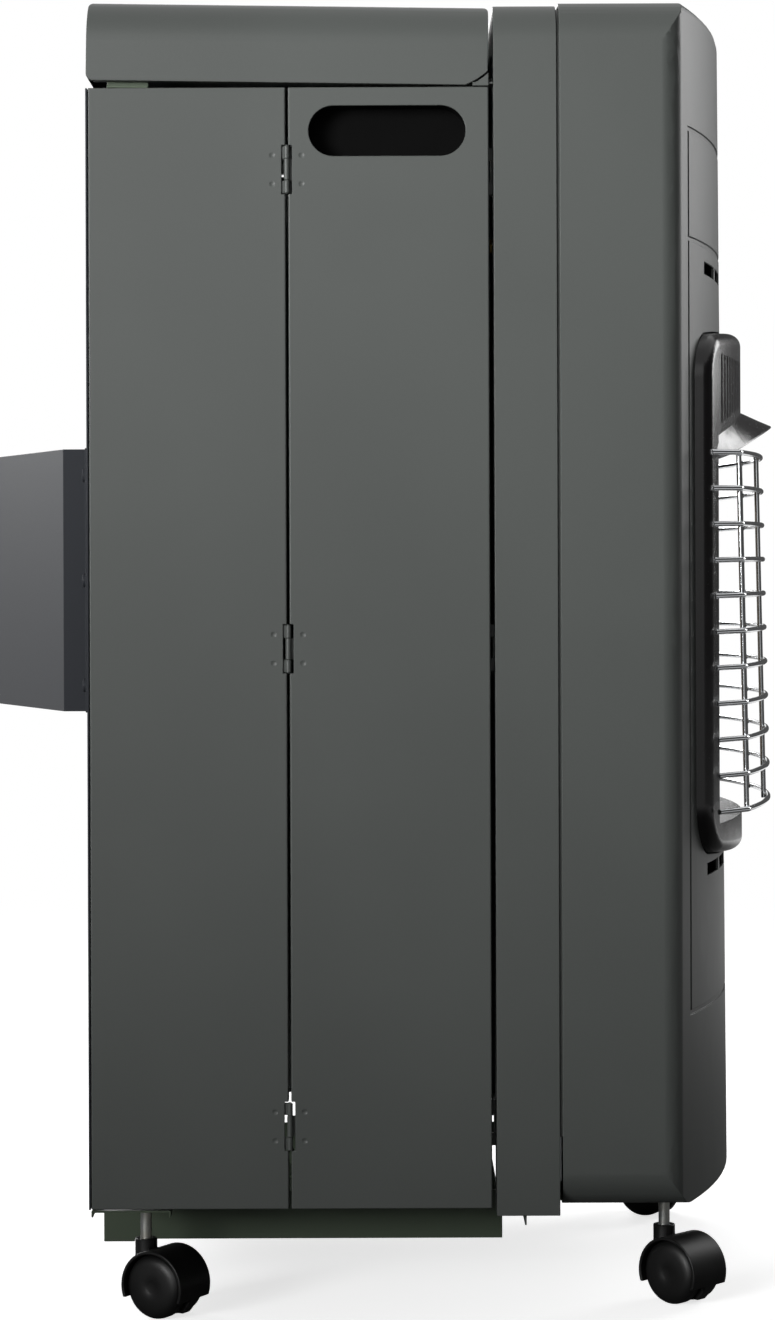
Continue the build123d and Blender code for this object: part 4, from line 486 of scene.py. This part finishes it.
def lead_rubber(name, colour):
    """Matt rubber sleeve with a faint bloom."""
    s = Shader(name)
    bloom = s.noise(0.008, 3.0).within(0.4, 0.8)
    grain = s.noise(0.0005, 2.0)
    base = s.mix(bloom * 0.4, colour, srgb(58, 58, 58))
    return s.finish(Base_Color=base, Roughness=0.72 + bloom * 0.1, Normal=s.bump(grain, 0.02 * MM))


def print_ink(name, colour):
    """Pad-printed ink, thin at its edges."""
    s = Shader(name)
    wear = s.noise(0.0011, 3.0).within(0.55, 0.8)
    base = s.mix(wear * 0.5, colour, tone(colour, -0.35))
    return s.finish(Base_Color=base, Roughness=0.5 + wear * 0.2)


def finish_for(context, kind):
    """The material of one kind, made once. Most kinds have the name of one of the record's slots."""
    name = f"{kind}_finish"
    if name in bpy.data.materials:
        return bpy.data.materials[name]
    look = context.scene.heater_finishes
    peel = context.scene.heater_sizes.peel
    pitch = context.scene.heater_sizes.plaque_hole
    makers = {
        "cabinet_paint": lambda: powder_coat(name, look.cabinet, peel),
        "rear_paint": lambda: powder_coat(name, look.rear, peel, 0.46, 0.07),
        "tray_paint": lambda: powder_coat(name, look.tray, peel, 0.38),
        "bezel_gloss": lambda: enamel(name, look.bezel),
        "guard_chrome": lambda: plating(name, look.chrome, 0.1, (1, 1, 0.1), 0.06),
        "zinc": lambda: zinc_plate(name, look.zinc),
        "galvanised": lambda: spangle(name, look.galvanised),
        "bright_steel": lambda: reflector_steel(name, look.reflector),
        "ceramic": lambda: plaque_ceramic(name, look.plaque, pitch),
        "cast_alloy": lambda: cast_alloy(name, look.alloy),
        "brass": lambda: soft_metal(name, look.brass, srgb(150, 118, 70), 0.24),
        "copper": lambda: soft_metal(name, look.copper, srgb(132, 80, 62), 0.26),
        "black_plastic": lambda: moulded_plastic(name, look.plastic),
        # a black moulding made darker and duller than the other plastic: partly its own colour, partly painted shade
        # inside the hand holes
        "matt_black": lambda: moulded_plastic(name, look.recess_black_and_shade, 0.8, 0.05),
        "white_ceramic": lambda: porcelain(name, look.porcelain),
        "black_rubber": lambda: lead_rubber(name, look.rubber),
        "marking": lambda: print_ink(name, look.marking),
    }
    return makers[kind]()


# ---------- making pieces ----------
def node_slot(node):
    """The record's slot of a frame node."""
    return frame["nodes"][node].material_slots[0].material.name.removesuffix("_finish")


def node_body(node):
    """The body that a frame node rides on."""
    return frame["nodes"][node]["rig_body"]


def coat(context, *nodes):
    """Gives frame nodes whose shape is kept their finish."""
    for node in nodes:
        kept = frame["nodes"][node].material_slots[0]
        kept.material = finish_for(context, node_slot(node))


def shown(context, name, bm, slot, body, stands_for=(), kind=None):
    """Turns a bmesh into a piece that rides on a body. It has its slot's finish, or the one of a kind given."""
    mesh = bpy.data.meshes.new(name)
    bm.to_mesh(mesh)
    bm.free()
    for face in mesh.polygons:
        face.use_smooth = True
    mesh.set_sharp_from_angle(angle=SHARP)
    mesh.materials.append(finish_for(context, kind or slot))
    piece = bpy.data.objects.new(name, mesh)
    context.scene.collection.objects.link(piece)
    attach(piece, body)
    if stands_for:
        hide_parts(*stands_for)
    return piece


def room_beside(edge):
    """How far a rounding of this edge may reach before it meets the next form."""
    room = 1.0
    for face in edge.link_faces:
        for vert in edge.verts:
            along = edge.other_vert(vert).co - vert.co
            for near in vert.link_edges:
                if near is edge or near not in face.edges:
                    continue
                away = near.other_vert(vert).co - vert.co
                turn = along.angle(away, 0)
                if turn < STRAIGHT_ON:
                    room = min(room, away.length * math.sin(turn) if turn < math.pi / 2 else away.length)
    return room


def dressed(context, node, rounding=None, kind=None):
    """A piece with a frame node's own shape, its faces joined up and its hard edges rounded."""
    width = context.scene.heater_sizes.sheet_round if rounding is None else rounding
    bm = bmesh.new()
    bm.from_mesh(frame["nodes"][node].data)
    bmesh.ops.remove_doubles(bm, verts=bm.verts, dist=WELD)
    bmesh.ops.dissolve_limit(bm, angle_limit=FLAT, verts=bm.verts, edges=bm.edges)
    weight = bm.edges.layers.float.new("bevel_weight_edge")
    for edge in bm.edges:
        if len(edge.link_faces) == 2 and edge.calc_face_angle(0) > SHARP:
            edge[weight] = min(1.0, ROUND_SHARE * room_beside(edge) / width)
    piece = shown(context, f"{node}_dressed", bm, node_slot(node), node_body(node), (node,), kind)
    bevel = piece.modifiers.new("edges", "BEVEL")
    bevel.limit_method = "WEIGHT"
    bevel.width = width
    bevel.segments = 2
    bevel.use_clamp_overlap = False
    evened = piece.modifiers.new("evened", "WEIGHTED_NORMAL")
    evened.mode = "FACE_AREA"
    evened.weight = 80
    evened.keep_sharp = True
    return piece


def lathe(bm, profile, place, steps):
    """Turns a profile of (radius, height) points about the Z axis of a placing matrix."""
    turn = 2 * math.pi / steps
    rings = []
    for radius, height in profile:
        if radius <= 0:
            rings.append([bm.verts.new(place @ Vector((0, 0, height)))])
            continue
        ring = [Vector((radius * math.cos(i * turn), radius * math.sin(i * turn), height)) for i in range(steps)]
        rings.append([bm.verts.new(place @ spot) for spot in ring])
    for low, high in zip(rings, rings[1:]):
        for i in range(steps):
            j = (i + 1) % steps
            corners = [low[i % len(low)], low[j % len(low)], high[j % len(high)], high[i % len(high)]]
            corners = list(dict.fromkeys(corners))  # a ring that is one point gives its corner twice
            if len(corners) > 2:
                bm.faces.new(corners)
    bmesh.ops.recalc_face_normals(bm, faces=bm.faces)


def slab(bm, corners, low, high, place):
    """A plate with the given outline, from low to high along Z of a placing matrix."""
    base = [bm.verts.new(place @ Vector((x, y, low))) for x, y in corners]
    top = [bm.verts.new(place @ Vector((x, y, high))) for x, y in corners]
    bm.faces.new(top)
    bm.faces.new(list(reversed(base)))
    for i in range(len(corners)):
        j = (i + 1) % len(corners)
        bm.faces.new([base[i], base[j], top[j], top[i]])


# ---------- operators ----------
class HEATER_OT_camera(bpy.types.Operator):
    """Place the camera level with the heater's side"""

    bl_idname = "heater.camera"
    bl_label = "Camera"

    def execute(self, context):
        studio = context.scene.heater_studio
        lens = bpy.data.cameras.new("studio_camera")
        lens.lens = studio.lens
        lens.sensor_width = SENSOR_WIDTH
        lens.sensor_fit = "AUTO"
        lens.shift_y = -HORIZON_ABOVE / PHOTO_HEIGHT
        lens.clip_end = VIEW_END
        camera = bpy.data.objects.new("studio_camera", lens)
        context.scene.collection.objects.link(camera)
        facing = Matrix.Rotation(math.radians(-90), 4, "Z") @ Matrix.Rotation(math.radians(90), 4, "X")
        stand = Matrix.Translation((-studio.distance, CAMERA_Y, studio.height))
        camera.matrix_world = stand @ facing @ Matrix.Rotation(studio.roll, 4, "Z")
        context.scene.camera = camera
        return {"FINISHED"}


class HEATER_OT_studio(bpy.types.Operator):
    """Set up the pale floor, the soft lamps and the white surround"""

    bl_idname = "heater.studio"
    bl_label = "Studio"

    def execute(self, context):
        studio = context.scene.heater_studio
        context.scene.view_settings.view_transform = "Standard"
        self.air(context)
        self.floor(context)
        self.surround(context)
        for name, place, aim, size, power, beam in LAMPS:
            self.lamp(context, name, place, aim, size, getattr(studio, power), beam)
        return {"FINISHED"}

    def air(self, context):
        """A plain light from all round, which is white where it is seen or mirrored."""
        context.scene.world = bpy.data.worlds.new("studio_air")
        s = Shader("studio_air", context.scene.world)
        level = context.scene.heater_studio.air
        strength = s.node("ShaderNodeMapRange", {}, {"Value": self.seen(s), "To Min": level, "To Max": 1.0})
        light = s.node("ShaderNodeBackground", {}, {"Color": (1, 1, 1, 1), "Strength": strength})
        s.node("ShaderNodeOutputWorld", {}, {"Surface": light})

    def seen(self, s):
        """1 for the rays that show a thing, straight or by a mirror or glass, and 0 for its light."""
        straight = s.node("ShaderNodeLightPath", {}, {}, "Is Camera Ray")
        glossy = s.node("ShaderNodeLightPath", {}, {}, "Is Glossy Ray")
        through = s.node("ShaderNodeLightPath", {}, {}, "Is Transmission Ray")
        return straight.math("MAXIMUM", straight.math("MAXIMUM", straight, glossy), through)

    def floor(self, context):
        """A round pale floor that turns white away from the heater and keeps its shadow."""
        bm = bmesh.new()
        bmesh.ops.create_circle(bm, cap_ends=True, segments=FLOOR_STEPS, radius=FLOOR_RADIUS)
        s = Shader("studio_floor")
        spread = s.node("ShaderNodeVectorMath", {"operation": "LENGTH"}, {0: s.place((1, 1, 0))}, "Value")
        studio = context.scene.heater_studio
        matt = s.node("ShaderNodeBsdfDiffuse", {}, {"Color": (*studio.bounce, 1)})
        pale = s.node("ShaderNodeBsdfDiffuse", {}, {"Color": (*studio.floor, 1)})
        lift = s.node("ShaderNodeEmission", {}, {"Color": (1, 1, 1, 1), "Strength": FLOOR_LIFT})
        white = s.node("ShaderNodeEmission", {}, {"Color": (1, 1, 1, 1), "Strength": 1.0})
        near = s.node("ShaderNodeAddShader", {}, {0: pale, 1: lift})
        straight = s.node("ShaderNodeLightPath", {}, {}, "Is Camera Ray")
        lit = s.node("ShaderNodeMixShader", {}, {0: straight, 1: matt, 2: near})
        far = spread.within(*FLOOR_WHITE) * self.seen(s)
        whole = s.node("ShaderNodeMixShader", {}, {0: far, 1: lit, 2: white})
        s.node("ShaderNodeOutputMaterial", {}, {"Surface": whole})
        self.staged(context, "studio_floor", bm, s.material)

    def surround(self, context):
        """Dark walls and a white card beside the camera, which are only seen mirrored in the heater."""
        bm = bmesh.new()
        corners = []
        for degrees in WALL_ARC:
            turn = math.radians(degrees)
            spot = Vector((WALL_RADIUS * math.cos(turn), WALL_RADIUS * math.sin(turn), 0.0))
            corners.append((bm.verts.new(spot), bm.verts.new(spot + Vector((0, 0, WALL_HEIGHT)))))
        for (a, b), (c, d) in zip(corners, corners[1:]):
            bm.faces.new([a, c, d, b])
        s = Shader("studio_walls")
        across = s.axis("Y")
        card = across.within(-1.1, -0.5) * across.within(1.9, 1.2) * s.axis("X").within(-1.6, -2.2)
        height = s.axis("Z").within(-0.3, 1.5)
        strength = card * height * context.scene.heater_studio.card + WALL_LEVEL
        glow = s.node("ShaderNodeEmission", {}, {"Color": (1, 1, 1, 1), "Strength": strength})
        s.node("ShaderNodeOutputMaterial", {}, {"Surface": glow})
        walls = self.staged(context, "studio_walls", bm, s.material)
        walls.visible_camera = False
        walls.visible_diffuse = False
        walls.visible_shadow = False
        walls.visible_transmission = False

    def staged(self, context, name, bm, material):
        """Turns a bmesh into a thing of the studio, which is no part of the heater."""
        mesh = bpy.data.meshes.new(name)
        bm.to_mesh(mesh)
        bm.free()
        mesh.materials.append(material)
        thing = bpy.data.objects.new(name, mesh)
        context.scene.collection.objects.link(thing)
        return thing

    def lamp(self, context, name, place, aim, size, power, beam):
        """A soft rectangular lamp."""
        data = bpy.data.lights.new(name, "AREA")
        data.shape = "RECTANGLE"
        data.size = size[0]
        data.size_y = size[1]
        data.energy = power
        data.spread = math.radians(beam)
        lamp = bpy.data.objects.new(name, data)
        context.scene.collection.objects.link(lamp)
        lamp.location = place
        lamp.rotation_mode = "QUATERNION"
        lamp.rotation_quaternion = (Vector(aim) - Vector(place)).to_track_quat("-Z", "Y")


class HEATER_OT_casing(bpy.types.Operator):
    """Dress the bowed front shell, the band behind it and the plates inside"""

    bl_idname = "heater.casing"
    bl_label = "Front casing"

    def execute(self, context):
        for node in ("front_shell", "mid_frame", "front_base_plate", "heat_shield", "shield_screws"):
            dressed(context, node)
        return {"FINISHED"}


class HEATER_OT_side_panels(bpy.types.Operator):
    """Dress the four folding side panels, their hand holes and their hinges"""

    bl_idname = "heater.side_panels"
    bl_label = "Side panels"

    def execute(self, context):
        leaf_round = context.scene.heater_sizes.hinge_round
        for side in ("left", "right"):
            for half in ("front", "rear"):
                dressed(context, f"{side}_{half}_panel")
                dressed(context, f"{side}_{half}_hinge_leaves", leaf_round)
            # the handle cups take the near-black finish, which is partly painted shade inside the hand holes
            dressed(context, f"{side}_handle_cup", kind="matt_black")
        dressed(context, "frame_hinge_leaves", leaf_round, "cabinet_paint")
        return {"FINISHED"}


class HEATER_OT_lid(bpy.types.Operator):
    """Dress the lid and the brackets that it turns on"""

    bl_idname = "heater.lid"
    bl_label = "Lid"

    def execute(self, context):
        for node in ("lid", "lid_brackets"):
            dressed(context, node)
        dressed(context, "lid_hinge_brackets", kind="cabinet_paint")
        return {"FINISHED"}


class HEATER_OT_rear(bpy.types.Operator):
    """Dress the rear panel with its cover, screws, hinge leaves and caster channel"""

    bl_idname = "heater.rear"
    bl_label = "Rear"

    def execute(self, context):
        for node in ("rear_panel", "bulge_cover", "rear_caster_channel"):
            dressed(context, node)
        dressed(context, "rear_hinge_leaves", context.scene.heater_sizes.hinge_round)
        coat(context, "bulge_screws")
        return {"FINISHED"}


class HEATER_OT_tray(bpy.types.Operator):
    """Dress the bottle tray and its pins"""

    bl_idname = "heater.tray"
    bl_label = "Bottle tray"

    def execute(self, context):
        for node in ("bottle_tray", "tray_hinge_brackets"):
            dressed(context, node)
        return {"FINISHED"}


class HEATER_OT_window(bpy.types.Operator):
    """Dress the glossy window frame with its louvres, and the visor"""

    bl_idname = "heater.window"
    bl_label = "Window frame"

    def execute(self, context):
        for node in ("window_bezel", "visor"):
            dressed(context, node)
        return {"FINISHED"}


class HEATER_OT_guard(bpy.types.Operator):
    """Finish the wire guard and join its wires where they cross"""

    bl_idname = "heater.guard"
    bl_label = "Wire guard"

    def execute(self, context):
        coat(context, "wire_guard")
        self.beads(context)
        return {"FINISHED"}

    def beads(self, context):
        """A small flattened bead of weld at each crossing."""
        rise = GUARD_SIDE_Y - GUARD_MIDDLE_Y
        bow = (GUARD_HALF**2 + rise**2) / 2 / rise
        radius = context.scene.heater_sizes.bead
        hang_y, hang_z = GUARD_HANG
        bm = bmesh.new()
        for x in GUARD_POSTS:
            slope = math.asin(x / bow)
            ahead = GUARD_MIDDLE_Y + bow * (1 - math.cos(slope)) + BEAD_BEHIND - hang_y
            for i in range(GUARD_ROWS):
                down = -i * GUARD_PITCH
                y = hang_y + ahead * math.cos(GUARD_LEAN) + down * math.sin(GUARD_LEAN)
                z = hang_z - ahead * math.sin(GUARD_LEAN) + down * math.cos(GUARD_LEAN)
                place = Matrix.Translation((x * MM, y * MM, z * MM)) @ Matrix.Rotation(slope, 4, "Z")
                shape = place @ Matrix.Diagonal(BEAD_SHAPE)
                bmesh.ops.create_uvsphere(bm, u_segments=12, v_segments=8, radius=radius, matrix=shape)
        shown(context, "guard_beads", bm, "guard_chrome", FRONT_BODY)


class HEATER_OT_burner(bpy.types.Operator):
    """Finish the reflector, plaques, burner bodies, pilot and pipes"""

    bl_idname = "heater.burner"
    bl_label = "Burner"

    def execute(self, context):
        for node in ("burner_box", "ceramic_plaques", "burner_bodies", "pilot_burner"):
            dressed(context, node)
        coat(context, "gas_rail", "injectors", "gas_valve", "thrust_collar", "valve_spindle", "inlet_nozzle")
        coat(context, "inlet_pipe", "burner_pipe", "pilot_pipe", "thermocouple")
        coat(context, "spark_electrode", "ignition_lead", "piezo_igniter")
        return {"FINISHED"}


class HEATER_OT_controls(bpy.types.Operator):
    """Dress the control well, knob and igniter button, and print the marks"""

    bl_idname = "heater.controls"
    bl_label = "Controls"

    def execute(self, context):
        dressed(context, "control_well", context.scene.heater_sizes.moulding_round)
        coat(context, "control_knob", "piezo_button")
        self.dial_marks(context)
        return {"FINISHED"}

    def dial_marks(self, context):
        """Three bars beside the knob that grow with the heat."""
        low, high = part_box("control_knob")
        centre = (low + high) / 2
        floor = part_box("control_well")[0].z + DIAL_FLOOR * MM
        near = (high.x - low.x) / 2 + DIAL_GAP * MM
        half = DIAL_HALF * MM
        under, top = (height * MM for height in INK)
        bm = bmesh.new()
        for i, length in enumerate(DIAL_BARS):
            turn = math.radians(DIAL_TURN * (i - 1))
            place = Matrix.Translation((centre.x, centre.y, floor)) @ Matrix.Rotation(turn, 4, "Z")
            far = near + length * MM
            slab(bm, [(-half, -far), (half, -far), (half, -near), (-half, -near)], under, top, place)
        shown(context, "dial_marks", bm, "marking", FRONT_BODY)


class HEATER_OT_casters(bpy.types.Operator):
    """Dress the hoods and stems of the casters, and turn their twin wheels"""

    bl_idname = "heater.casters"
    bl_label = "Casters"

    def execute(self, context):
        for corner in CASTERS:
            dressed(context, f"{corner}_caster_hood", context.scene.heater_sizes.moulding_round)
            self.wheels(context, corner)
        coat(context, "front_caster_stems", "rear_caster_stems")
        return {"FINISHED"}

    def wheels(self, context, corner):
        """Two wheels with softly domed faces, a faint dish in each and a moulded groove near the rim."""
        spin = next(j for j in frame["record"]["behaviour"]["joints"] if j["name"] == f"{corner}_wheel_spin")
        axle = Vector(spin["axis"])
        place = Matrix.Translation(spin["pos_m"]) @ axle.to_track_quat("Z", "Y").to_matrix().to_4x4()
        bm = bmesh.new()
        steps = context.scene.heater_sizes.wheel_steps
        for side in (1, -1):
            profile = [(r * MM, side * z * MM) for r, z in WHEEL_PROFILE]
            lathe(bm, profile, place, steps)
        shown(context, f"{corner}_wheels", bm, "black_plastic", f"{corner}_wheel_pair", (f"{corner}_caster_wheels",))


class HEATER_PT_panel(bpy.types.Panel):
    """The heater's settings and the steps that build it"""

    bl_label = "Gas cabinet heater"
    bl_idname = "HEATER_PT_panel"
    bl_space_type = "VIEW_3D"
    bl_region_type = "UI"
    bl_category = "Heater"

    def draw(self, context):
        layout = self.layout
        for title, group in (
            ("Finishes", context.scene.heater_finishes),
            ("Sizes", context.scene.heater_sizes),
            ("Studio", context.scene.heater_studio),
        ):
            box = layout.box()
            box.label(text=title)
            for key in group.__annotations__:
                box.prop(group, key)
        for step in STEPS:
            layout.operator(step.bl_idname)


STEPS = (
    HEATER_OT_camera,
    HEATER_OT_studio,
    HEATER_OT_casing,
    HEATER_OT_side_panels,
    HEATER_OT_lid,
    HEATER_OT_rear,
    HEATER_OT_tray,
    HEATER_OT_window,
    HEATER_OT_guard,
    HEATER_OT_burner,
    HEATER_OT_controls,
    HEATER_OT_casters,
)
GROUPS = (HeaterFinishes, HeaterSizes, HeaterStudio)


def register():
    for made in (*GROUPS, *STEPS, HEATER_PT_panel):
        bpy.utils.register_class(made)
    bpy.types.Scene.heater_finishes = PointerProperty(type=HeaterFinishes)
    bpy.types.Scene.heater_sizes = PointerProperty(type=HeaterSizes)
    bpy.types.Scene.heater_studio = PointerProperty(type=HeaterStudio)


def unregister():
    del bpy.types.Scene.heater_studio
    del bpy.types.Scene.heater_sizes
    del bpy.types.Scene.heater_finishes
    for made in reversed((*GROUPS, *STEPS, HEATER_PT_panel)):
        bpy.utils.unregister_class(made)


def main():
    register()
    for step in STEPS:
        group, name = step.bl_idname.split(".")
        getattr(getattr(bpy.ops, group), name)()


if __name__ == "__main__":
    main()
